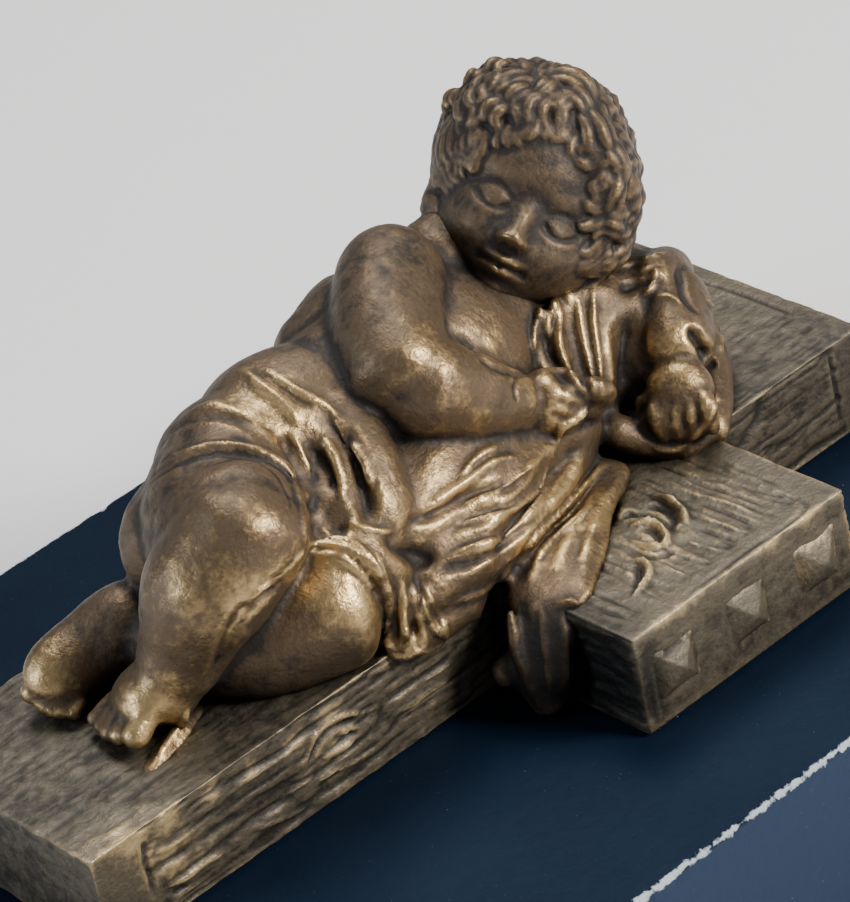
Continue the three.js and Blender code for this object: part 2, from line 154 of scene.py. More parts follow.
def addLimb(bm, stations, wide=(0, 0, 1), wideEnd=None, sides=28, rings=24):
    # a limb with round ends through stations of x, y, z, half width and half depth;
    # wide is the way its width faces, at its start and at its end
    path = np.array([s[:3] for s in stations], float)
    size = np.array([(s[3], s[4] if len(s) > 4 else s[3]) for s in stations], float)
    part = bmesh.new()
    bmesh.ops.create_uvsphere(part, u_segments=sides, v_segments=rings, radius=1)
    mesh = bpy.data.meshes.new("limb")
    part.to_mesh(mesh)
    part.free()
    ball = readPoints(mesh)
    polar = np.arccos(np.clip(ball[:, 2], -1, 1)) / math.pi
    share = 0.55 * polar + 0.45 * (1 - np.cos(polar * math.pi)) / 2
    length = np.linalg.norm(np.diff(lineFrom(path, 61), axis=0), axis=1).sum()
    after, before = np.minimum(share + 0.01, 1), np.maximum(share - 0.01, 0)
    ahead = unit(splinePoints(path, after) - splinePoints(path, before))
    start, end = np.array(wide, float), np.array(wide if wideEnd is None else wideEnd, float)
    side = start * (1 - share[:, None]) + end * share[:, None]
    side = unit(side - ahead * (side * ahead).sum(1, keepdims=True))
    half = splinePoints(size, share)
    near = np.minimum(share, 1 - share) * length / np.minimum(half.min(1), length / 2)
    cap = np.where(near < 1, np.sqrt(np.clip(1 - (1 - near) ** 2, 0, 1)), 1)
    ring = np.maximum(np.hypot(ball[:, 0], ball[:, 1]), 1e-9)
    across = ball[:, 0] / ring * half[:, 0] * cap
    other = ball[:, 1] / ring * half[:, 1] * cap
    points = splinePoints(path, share) + side * across[:, None] + np.cross(ahead, side) * other[:, None]
    writePoints(mesh, points)
    bm.from_mesh(mesh)
    bpy.data.meshes.remove(mesh)


def addFolds(bm, guideA, guideB, count, girth):
    # a fan of folds that run between two guide lines
    for i in range(count):
        share = i / (count - 1)
        stations = []
        for k, (a, b) in enumerate(zip(guideA, guideB)):
            p = np.array(a) * (1 - share) + np.array(b) * share
            swell = math.sin(math.pi * (k + 0.5) / len(guideA))
            stations.append((*p, girth * (0.4 + 0.6 * swell)))
        addLimb(bm, stations, sides=10, rings=16)


def toObject(bm, name, turnOut=True):
    # turnOut makes the normals point outwards, which loose shells that already do would lose
    if turnOut:
        bmesh.ops.recalc_face_normals(bm, faces=bm.faces)
    mesh = bpy.data.meshes.new(name)
    bm.to_mesh(mesh)
    bm.free()
    piece = bpy.data.objects.new(name, mesh)
    bpy.context.scene.collection.objects.link(piece)
    return piece


def applied(piece):
    # the piece's modifiers made real
    graph = bpy.context.evaluated_depsgraph_get()
    mesh = bpy.data.meshes.new_from_object(piece.evaluated_get(graph))
    piece.modifiers.clear()
    old, piece.data = piece.data, mesh
    bpy.data.meshes.remove(old)
    return piece


def fused(piece, voxel):
    # one closed skin round everything in the piece, in figure millimetres
    skin = piece.modifiers.new("skin", "REMESH")
    skin.mode = "VOXEL"
    skin.voxel_size = voxel
    skin.adaptivity = 0
    return applied(piece)


def evened(values, edges, rounds, share=0.5):
    # each value moves towards its neighbours' mean
    many = values.ndim == 2
    n = len(values)
    degree = np.maximum(np.bincount(edges.ravel(), minlength=n), 1)
    out = []
    for column in values.T if many else [values]:
        c = column.copy()
        for _ in range(rounds):
            total = np.bincount(edges[:, 0], weights=c[edges[:, 1]], minlength=n)
            total += np.bincount(edges[:, 1], weights=c[edges[:, 0]], minlength=n)
            c += share * (total / degree - c)
        out.append(c)
    return np.array(out).T if many else out[0]


def smoothed(piece, rounds, keepSize=True):
    # each round evens the points out and, to keep the size, pushes them back a little further
    share, back = 0.5, 1.03
    points, edges = readPoints(piece.data), readEdges(piece.data)
    for _ in range(rounds):
        points = evened(points, edges, 1, share)
        if keepSize:
            points = evened(points, edges, 1, -share * back)
    writePoints(piece.data, points)
    return piece


def hashNoise(ix, iy, iz, seed):
    # an even spread of values from -1 to 1, the same on every run
    h = (ix * 374761393 + iy * 668265263 + iz * 2147483647 + seed * 974634777) & 0xFFFFFFFF
    h = ((h ^ (h >> 13)) * 1274126177) & 0xFFFFFFFF
    return ((h ^ (h >> 16)) & 0xFFFF) / 32767.5 - 1


def valueNoise(points, size, seed=0):
    # smooth noise from -1 to 1 with cells of the given size, or sizes along x, y and z
    p = points / np.asarray(size, float) + 1000
    base = np.floor(p).astype(np.int64)
    f = p - base
    f = f * f * (3 - 2 * f)
    total = np.zeros(len(points))
    for dx in (0, 1):
        for dy in (0, 1):
            for dz in (0, 1):
                w = (f[:, 0] if dx else 1 - f[:, 0]) * (f[:, 1] if dy else 1 - f[:, 1])
                w = w * (f[:, 2] if dz else 1 - f[:, 2])
                total += w * hashNoise(base[:, 0] + dx, base[:, 1] + dy, base[:, 2] + dz, seed)
    return total


def photoRay(x, y):
    # from the camera through a place in the 850 x 902 frame
    d = (x - shot["width"] / 2) * shotRight - (y - shot["height"] / 2) * shotUp
    d = d / shot["focalPixels"] - shotBack
    return d / np.linalg.norm(d)


def onSurface(tree, pixels):
    # the points of the surface that lie under a line drawn in the 850 x 902 frame
    spacing, fewest = 6, 4
    pixels = np.asarray(pixels, float)
    run = sum(np.linalg.norm(b - a) for a, b in zip(pixels, pixels[1:]))
    line = lineFrom(pixels, max(int(run / spacing), fewest))
    found = []
    for x, y in line:
        place, normal, _, _ = tree.ray_cast(Vector(eyeInFigure), Vector(photoRay(x, y)))
        if place is not None:
            found.append((*place, *normal))
    return np.array(found)


def pressLine(points, normals, line, width, height, sharp):
    # raises (height above 0) or sinks a band along a line, and its ends taper off
    ends, longestStep = 0.25, 5
    path, facing = line[:, :3], line[:, 3:]
    low, high = path.min(0) - width, path.max(0) + width
    near = np.nonzero(((points > low) & (points < high)).all(1))[0]
    if len(near) == 0 or len(path) < 2:
        return
    p = points[near]
    best = np.full(len(p), np.inf)
    along = np.zeros(len(p))
    agree = np.zeros(len(p))
    count = len(path) - 1
    for i in range(count):
        a, b = path[i], path[i + 1]
        ab = b - a
        size = ab.dot(ab)
        if size < 1e-9 or size > longestStep ** 2:  # the line jumps to another form
            continue
        t = np.clip(((p - a) @ ab) / size, 0, 1)
        d = np.linalg.norm(p - a - t[:, None] * ab, axis=1)
        closer = d < best
        best[closer] = d[closer]
        along[closer] = (i + t[closer]) / count
        agree[closer] = normals[near][closer] @ facing[i]
    fade = np.clip(np.minimum(along, 1 - along) / ends, 0, 1)
    fade = fade * fade * (3 - 2 * fade)
    reach = width * (0.55 + 0.45 * fade)
    w = np.clip(1 - best / reach, 0, 1) ** sharp
    w = w * fade * np.clip(agree * 1.6, 0, 1)
    points[near] += normals[near] * (w * height)[:, None]


def treeOf(pieces):
    bm = bmesh.new()
    for piece in pieces:
        bm.from_mesh(piece.data)
    tree = BVHTree.FromBMesh(bm)
    bm.free()
    return tree


def strokes(piece, lines):
    # each stroke is pixels, width and height in millimetres, and how sharp its crest is
    tree = treeOf([piece])
    points, normals = readPoints(piece.data), readNormals(piece.data)
    for pixels, width, height, sharp in lines:
        line = onSurface(tree, pixels)
        if len(line) > 2:
            pressLine(points, normals, line, width, height, sharp)
    writePoints(piece.data, points)


def joined(pieces, name):
    # several pieces made one, and the old ones taken away
    bm = bmesh.new()
    for piece in pieces:
        bm.from_mesh(piece.data)
        mesh = piece.data
        bpy.data.objects.remove(piece)
        bpy.data.meshes.remove(mesh)
    return toObject(bm, name, False)


# The child's body

child = {
    "skinVoxel": 0.6,
    "skinSmooth": 7,
    "trunk": dict(
        stations=[
            (42, 21, 16, 9, 8), (50, 21, 16.5, 12.2, 11), (60, 20, 17, 12.2, 10.4),
                (70, 19, 18, 13.2, 10.2),
            (79, 19.2, 18.6, 13, 9.2), (86, 20.5, 18.4, 10, 7.6), (95, 22.4, 20, 6.5, 6.5),
        ],
        wide=(-0.2, 0.35, 0.92),
        wideEnd=(-0.45, 0.6, 0.66),
        sides=40,
        rings=36,
    ),
    "neck": dict(stations=[(86, 21, 17.5, 5), (92, 21.5, 20.5, 5.8), (99, 22.4, 25, 6)]),
    "nape": dict(stations=[(80, 26, 25, 6), (87, 25.6, 25.4, 6.4), (95, 25, 26, 7)]),
    "back": dict(
        stations=[(80, 28, 25, 6.5), (75, 28, 23, 8), (70.4, 26, 21.2, 9), (66, 26, 18.6, 9.5),
            (60, 25, 17, 9.5)],
    ),
    "rightArm": dict(
        stations=[
            (82, 26, 28, 6.2), (77, 23.5, 29, 7), (70, 17.5, 27.8, 7), (66, 11, 25.4, 6.5),
                (63.5, 7.5, 23.6, 5.8),
        ],
    ),
    "rightForearm": dict(
        stations=[
            (63, 9.5, 26.5, 5.8), (67, 9.5, 23.8, 6.3), (72.5, 8.8, 19.3, 6), (77.4, 7.8, 15.8, 4.7),
                (82, 6.8, 13.6, 3.9),
        ],
    ),
    "rightThigh": dict(
        stations=[
            (56, 24.5, 17, 9), (50.5, 22.4, 17.8, 10.6), (43, 18.6, 17.4, 10.8), (38, 13.2, 18, 10),
            (37.6, 8.4, 20.6, 8.6), (37, 4.4, 22, 6.6),
        ],
    ),
    "hamstring": dict(stations=[(50, 26, 13, 9), (43, 23.5, 14, 9), (36.5, 20.5, 14.4, 8.6),
        (33, 16.5, 14, 7)]),
    "rightShin": dict(
        stations=[
            (41.5, 8, 25.5, 7.2), (37.5, 8.4, 21.5, 8), (30.8, 9.6, 16, 7.9), (26.4, 11.4, 9, 5.4),
                (23.4, 12.4, 3.6, 4.6),
        ],
    ),
    "rightFoot": dict(
        stations=[(27.5, 12, 3.2, 3.8), (24.5, 12.4, 4.8, 4.8), (21.6, 13.8, 4.6, 5, 3.9),
            (17.6, 14.7, 3, 5.2, 2.7)],
        wide=(0.1, -0.9, 0.3),
    ),
    "leftThigh": dict(
        stations=[(60, 18, 13, 9), (54, 13.4, 12.2, 9.8), (48.6, 7, 9, 8.8), (45.6, 3.8, 7.4, 8),
            (44, 1.6, 6.4, 6)],
    ),
    "leftShin": dict(
        stations=[
            (49.4, 3, 7, 6.2), (45, 4.8, 6.8, 7.9), (37.6, 9.6, 5.2, 7.8), (31.8, 16, 5.2, 6.4),
                (28, 24, 6.2, 5.2),
        ],
    ),
    "leftFoot": dict(
        stations=[(32.5, 23.6, 6.2, 4.4), (28.4, 25, 6.4, 5.4), (23, 26.6, 5, 5, 4.4),
            (14, 27.2, 3.8, 4.8, 3.7)],
        wide=(0.1, 0.45, 0.85),
    ),
    "leftArm": dict(
        stations=[(111.5, 14, 10.6, 5), (108, 10.5, 11.6, 5.6), (103.6, 5, 10.4, 5.2), (101, 2, 8.4, 4.6)],
    ),
    "betweenKnees": dict(stations=[(46, 10, 12, 4), (41, 9, 13, 4.6), (36, 10.5, 12, 3.6)]),
}


def makeSkin():
    bm = bmesh.new()
    for limb in child.values():
        if isinstance(limb, dict):
            addLimb(bm, **limb)
    skin = fused(toObject(bm, "skin"), child["skinVoxel"])
    return smoothed(skin, child["skinSmooth"])


skin = makeSkin()
print("body:", len(skin.data.vertices), "points")

# Hands and feet

handsAndFeet = {
    "voxel": 0.36,
    "smooth": 2,
    "rightToes": dict(
        bigRoot=(21.4, 11.4, 5), bigTip=(15.6, 10.6, 1.9),
        littleRoot=(20.8, 18.2, 3.6), littleTip=(16, 19, 1.4), girth=1.38,
    ),
    "leftToes": dict(
        bigRoot=(17.6, 28.4, 4.4), bigTip=(13.8, 28, 2.6),
        littleRoot=(19, 23.4, 2), littleTip=(15.8, 22.4, 1), girth=1.2,
    ),
    "rightHand": dict(
        centre=(83.2, 6.4, 12.6), ahead=(0.76, -0.1, -0.64), across=(-0.45, 0.5, -0.74),
        out=(-0.1, -0.8, 0.4), size=5.5,
    ),
    "leftHand": dict(
        centre=(99.8, 1.2, 7.2), ahead=(-0.5, -0.6, -0.62), across=(-0.7, 0.7, -0.1),
        out=(-0.5, -0.3, 0.8), size=4.5,
    ),
}


def addToes(bm, bigRoot, bigTip, littleRoot, littleTip, girth):
    # five toes from the big one to the little one, each with its place across the foot and its thickness
    roots, tips = np.array([bigRoot, littleRoot], float), np.array([bigTip, littleTip], float)
    for share, wide in ((0, 1.35), (0.34, 0.98), (0.54, 0.94), (0.74, 0.88), (1, 0.8)):
        root = roots[0] + (roots[1] - roots[0]) * share
        tip = tips[0] + (tips[1] - tips[0]) * share
        tip = tip + unit(tip - root) * 0.7 * math.sin(math.pi * share)
        middle = root + (tip - root) * 0.5 + np.array([0, 0, 0.35])
        radius = girth * wide
        addLimb(bm, [(*root, radius), (*middle, radius * 0.88), (*tip, radius * 1.05)], sides=18, rings=16)


def addHand(bm, centre, ahead, across, out, size):
    centre, a, c, o = (np.array(v, float) for v in (centre, ahead, across, out))
    a, c, o = unit(a), unit(c), unit(o)

    def spot(along, beside, above, *girth):
        return (*(centre + (a * along + c * beside + o * above) * size), *(g * size for g in girth))

    palm = [spot(-0.95, 0, 0, 0.78, 0.7), spot(0, 0, 0.05, 1.0, 0.74), spot(0.85, 0, -0.05, 0.92, 0.62)]
    addLimb(bm, palm, wide=tuple(c))
    for i in range(4):
        side = (i - 1.5) * 0.47
        girth = 0.275 - 0.015 * i
        finger = [
            spot(0.3, side, 0.34, girth), spot(0.85, side, 0.4, girth * 1.15),
            spot(1.2, side * 0.95, 0.02, girth * 1.05), spot(1.08, side * 0.9, -0.5, girth * 0.85),
        ]
        addLimb(bm, finger, sides=14, rings=18)
    thumb = [spot(-0.2, 0.75, 0.1, 0.3), spot(0.4, 1.02, 0.12, 0.33), spot(0.95, 0.8, 0, 0.25)]
    addLimb(bm, thumb, sides=14, rings=14)


def makeHandsAndFeet():
    bm = bmesh.new()
    for name, spec in handsAndFeet.items():
        if name.endswith("Toes"):
            addToes(bm, **spec)
        elif name.endswith("Hand"):
            addHand(bm, **spec)
    ends = fused(toObject(bm, "handsAndFeet"), handsAndFeet["voxel"])
    return smoothed(ends, handsAndFeet["smooth"])


ends = makeHandsAndFeet()
print("hands and feet:", len(ends.data.vertices), "points")

# The head, in its own directions: left, up and forward

head = {
    "centre": (100.2, 22.5, 28.4),
    "face": (-0.557, -0.693, 0.487),
    "crown": (0.689, -0.128, 0.694),
    "width": 12.4,
    "above": 15,
    "below": 15.6,
    "front": 12.4,
    "behind": 13.4,
    "voxel": 0.25,
    # forms on the front of the face: across, up, spread across, spread up, height;
    # those off the middle are mirrored
    "forms": [
        (0, 6.5, 5, 4, 0.5),  # forehead
        (4.6, 1.3, 2.6, 0.9, 0.35),  # brow
        (4.5, -1.3, 2.5, 1.7, -1.5),  # eye socket
        (0, 0.3, 1.3, 1.4, -0.6),  # root of the nose
        (4.5, -1.6, 1.75, 1.15, 1.3),  # closed lid
        (4.5, -3.1, 1.8, 0.5, 0.3),  # lower lid
        (0, -1.4, 0.95, 1.4, 0.75),  # bridge
        (0, -3.2, 1.05, 1.5, 1.3),
        (0, -5.1, 1.25, 1.05, 2.3),  # tip of the nose
        (1.55, -5.5, 0.75, 0.7, 1.1),  # wings
        (0.75, -6.3, 0.36, 0.3, -0.6),  # nostrils
        (0, -8.8, 3.2, 2.5, 1.6),  # round of the mouth
        (0, -7.2, 0.4, 0.7, -0.25),
        (1.0, -8.15, 1.0, 0.48, 0.75),  # upper lip
        (0, -8.3, 0.5, 0.4, 0.35),
        (0, -9.6, 1.45, 0.5, 0.8),  # lower lip
        (0, -10.7, 1.8, 0.6, -0.6),
        (3.1, -8.9, 0.5, 0.5, -0.35),  # corners of the mouth
        (0, -12.4, 2.5, 1.8, 2.1),  # chin
        (6.2, -6.2, 2.9, 2.9, 1.9),  # cheeks
    ],
    # grooves drawn on the face: points across and up, width, depth
    "creases": [
        ([(2.6, -2.1), (3.5, -2.75), (4.6, -3.0), (5.8, -2.7), (6.7, -2.0)], 0.5, -0.5),
        ([(2.5, -0.9), (3.6, -0.2), (4.7, 0.0), (5.9, -0.3), (6.9, -1.1)], 0.45, -0.25),
        ([(0, -8.95), (0.7, -8.75), (1.6, -8.85), (2.9, -8.75)], 0.5, -0.6),
        ([(1.8, -4.7), (2.35, -5.5), (2.0, -6.3)], 0.4, -0.35),
    ],
    "ears": (11.8, -2.4, -0.4),
    "lockRows": 15,
    "rowStep": 9.9,  # degrees from row to row
    "lockSpacing": 2.8,
    "skull": 14.5,
    "whorl": (0.12, 0.62, -0.78),
    # single curls that stand out: root, flow, bend, length, thickness, lift
    "curls": [
        ((-0.32, 0.88, 0.34), (1, 0.1, 0.3), -1.6, 0.42, 1.5, 1.35),
        ((-0.24, 0.86, 0.44), (1, -0.1, 0.4), -1.2, 0.4, 1.35, 1.2),
        ((0.02, 0.84, 0.56), (0.8, -0.3, 0.2), 2.4, 0.5, 1.4, 1.35),
        ((0.3, 0.74, 0.6), (0.6, -0.6, 0.1), -2.4, 0.5, 1.4, 1.35),
        ((0.52, 0.6, 0.62), (0.4, -0.7, 0.2), 2.2, 0.46, 1.3, 1.25),
        ((-0.62, 0.76, 0.06), (-0.6, -0.3, 0.6), 3.4, 0.2, 1.15, 1.45),
        ((-0.76, 0.62, 0.05), (-0.5, -0.5, 0.6), -3.4, 0.2, 1.15, 1.45),
        ((-0.87, 0.47, 0.06), (-0.3, -0.7, 0.5), 3.4, 0.2, 1.1, 1.4),
    ],
}


def headAxes():
    face = unit(np.array(head["face"]))
    crown = np.array(head["crown"])
    crown = unit(crown - face * crown.dot(face))
    return np.array([np.cross(crown, face), crown, face])


headTurn = headAxes()


def headPoint(p):
    return np.array(head["centre"]) + np.asarray(p) @ headTurn


def skullRadius(d):
    fuller = 1 - np.where(d[:, 0] > 0, 0.15, 0.18) * d[:, 0] * np.clip(d[:, 1] + 0.35, 0, 1)
    fuller -= 0.06 * np.exp(-((d - [0.22, 0.93, 0.25]) ** 2).sum(1) / 0.16)
    half = np.stack([
        np.full(len(d), head["width"]),
        np.where(d[:, 1] > 0, head["above"], head["below"]),
        np.where(d[:, 2] > 0, head["front"], head["behind"]),
    ], 1)
    return fuller / np.sqrt(((d / half) ** 2).sum(1))


def scalpShare(d):
    # 1 on the scalp, 0 on the face and under the jaw
    edge = 0.75 * d[:, 1] - 1.05 * d[:, 2] + 0.62 * np.abs(d[:, 0]) + 0.22
    ear = unit(np.array(head["ears"]))
    clear = np.clip((np.linalg.norm(np.abs(d) * [1, 0, 0] + d * [0, 1, 1] - ear, axis=1) - 0.2) / 0.1, 0, 1)
    return clear * np.clip((edge - 0.02) / 0.14, 0, 1) * np.clip((d[:, 1] + 0.95) / 0.3, 0, 1)


def makeFace():
    bm = bmesh.new()
    bmesh.ops.create_uvsphere(bm, u_segments=240, v_segments=170, radius=1)
    ball = toObject(bm, "face")
    d = readPoints(ball.data)
    d = np.stack([d[:, 0], d[:, 2], -d[:, 1]], 1)
    turn = np.arctan2(d[:, 0], d[:, 2])
    rise = np.arcsin(np.clip(d[:, 1], -1, 1))
    turn = turn - 0.5 * np.sin(turn)  # more points round the face
    rise = rise - 0.16 * np.sin(2 * rise) - 0.12 * np.cos(rise) ** 2
    d = np.stack([np.cos(rise) * np.sin(turn), np.sin(rise), np.cos(rise) * np.cos(turn)], 1)
    scalp = scalpShare(d) * (0.9 + 0.35 * valueNoise(d, 0.2, 31))
    p = d * (skullRadius(d) + scalp)[:, None]
    fore = np.clip((d[:, 2] - 0.12) / 0.35, 0, 1)
    fore = fore * fore * (3 - 2 * fore)
    lift = np.zeros(len(p))
    for x, y, wide, tall, height in head["forms"]:
        for side in ((1,) if x == 0 else (1, -1)):
            away = ((p[:, 0] - side * x) / wide) ** 2 + ((p[:, 1] - y) / tall) ** 2
            lift += height * np.exp(-0.5 * away)
    p[:, 2] += lift * fore
    for path, width, depth in head["creases"]:
        for side in (1, -1):
            line = lineFrom([(side * x, y) for x, y in path], 16)
            away = np.full(len(p), 9.0)
            for a, b in zip(line, line[1:]):
                ab = b - a
                t = np.clip(((p[:, :2] - a) @ ab) / ab.dot(ab), 0, 1)
                away = np.minimum(away, np.linalg.norm(p[:, :2] - a - t[:, None] * ab, axis=1))
            p[:, 2] += depth * fore * np.exp(-0.5 * (away / (width * 0.6)) ** 2)
    writePoints(ball.data, headPoint(p))
    return ball


def addEar(bm, side):
    x, y, z = head["ears"]
    rim = []
    for i in range(9):
        a = math.radians(-60 + i * 35)
        rim.append((*headPoint((side * (x + 0.5), y + 2.4 * math.sin(a), z - 1.5 * math.cos(a))), 0.55))
    addLimb(bm, rim, sides=10, rings=24)
    lobe = [(x - 1, y + 1.6, z, 1.3), (x - 0.4, y, z, 1.5), (x - 1, y - 2, z + 0.4, 1.1)]
    addLimb(bm, [(*headPoint((side * a, b, c)), g) for a, b, c, g in lobe], sides=12, rings=12)


def addLock(bm, root, flow, bend, long, thick, low):
    # one wavy lock of three strands that lie side by side and close in a hook
    d = unit(np.array(root))
    flow = unit(flow - d * d.dot(flow))
    count = 10
    for strand in (-1, 0, 1):
        here, heading = d.copy(), flow.copy()
        here = unit(here + np.cross(here, heading) * strand * 0.062 * thick)
        stations = []
        for k in range(count):
            t = k / (count - 1)
            arch = math.sin(math.pi * (0.1 + 0.8 * t))
            lift = low * (0.35 + 0.95 * arch * thick + (0.3 if strand == 0 else 0))
            girth = 0.66 * thick * (0.4 + 0.65 * math.sin(math.pi * min(0.12 + 0.76 * t, 1)))
            r = skullRadius(here[None])[0] + lift * (0.3 + 0.7 * scalpShare(here[None])[0])
            stations.append((*headPoint(here * r), girth))
            step = long / (count - 1)
            turn = (bend * (1.9 * t - 0.45) + strand * bend * 0.08) / (count - 1) * 1.6
            here = unit(here + heading * step)
            heading = unit(heading - here * here.dot(heading))
            side = np.cross(here, heading)
            heading = unit(heading * math.cos(turn) + side * math.sin(turn))
        addLimb(bm, stations, sides=8, rings=16)


def addHair(bm):
    # rows of locks that spread from a whorl on the back of the crown
    whorl = unit(np.array(head["whorl"]))
    one = unit(np.cross(whorl, (1, 0, 0)))
    two = np.cross(whorl, one)
    made = 0
    for row in range(head["lockRows"], 0, -1):
        away = math.radians(row * head["rowStep"])
        count = max(int(2 * math.pi * math.sin(away) * head["skull"] / head["lockSpacing"]), 3)
        for i in range(count):
            turn = 2 * math.pi * (i + 0.5 * (row % 2) + random.uniform(-0.25, 0.25)) / count
            radial = one * math.cos(turn) + two * math.sin(turn)
            d = whorl * math.cos(away) + radial * math.sin(away)
            flow = radial * math.cos(away) - whorl * math.sin(away)
            swing = random.uniform(-0.6, 0.6)
            flow = flow * math.cos(swing) + np.cross(d, flow) * math.sin(swing)
            bend = random.choice((-1, 1)) * random.uniform(1.5, 3)
            long, thick = random.uniform(0.34, 0.52), random.uniform(0.85, 1.25)
            share = scalpShare(d[None])[0]
            if share < 0.5 or d[1] < -0.72:
                continue
            if d[2] > 0.1 and d[1] > 0.45:
                bend, long, thick = bend * 1.7, long * 0.8, thick * 1.15
            low = 0.5 if d[0] < -0.45 and d[1] < 0.45 else 1.0
            if share < 0.98:
                low, long, thick = low * 0.75, long * 0.75, thick * 0.85
            addLock(bm, d, flow, bend, long, thick, low)
            made += 1
    for root, flow, bend, long, thick, lift in head["curls"]:
        addLock(bm, root, np.array(flow, float), bend, long, thick, lift)
    return made + len(head["curls"])


def makeHead():
    face = makeFace()
    bm = bmesh.new()
    for side in (1, -1):
        addEar(bm, side)
    print("hair:", addHair(bm), "locks")
    both = fused(joined([face, toObject(bm, "hair")], "bronze_head"), head["voxel"])
    return smoothed(both, 2, False)


headPiece = makeHead()
print("head:", len(headPiece.data.vertices), "points", len(headPiece.data.polygons), "faces")

# The drapery

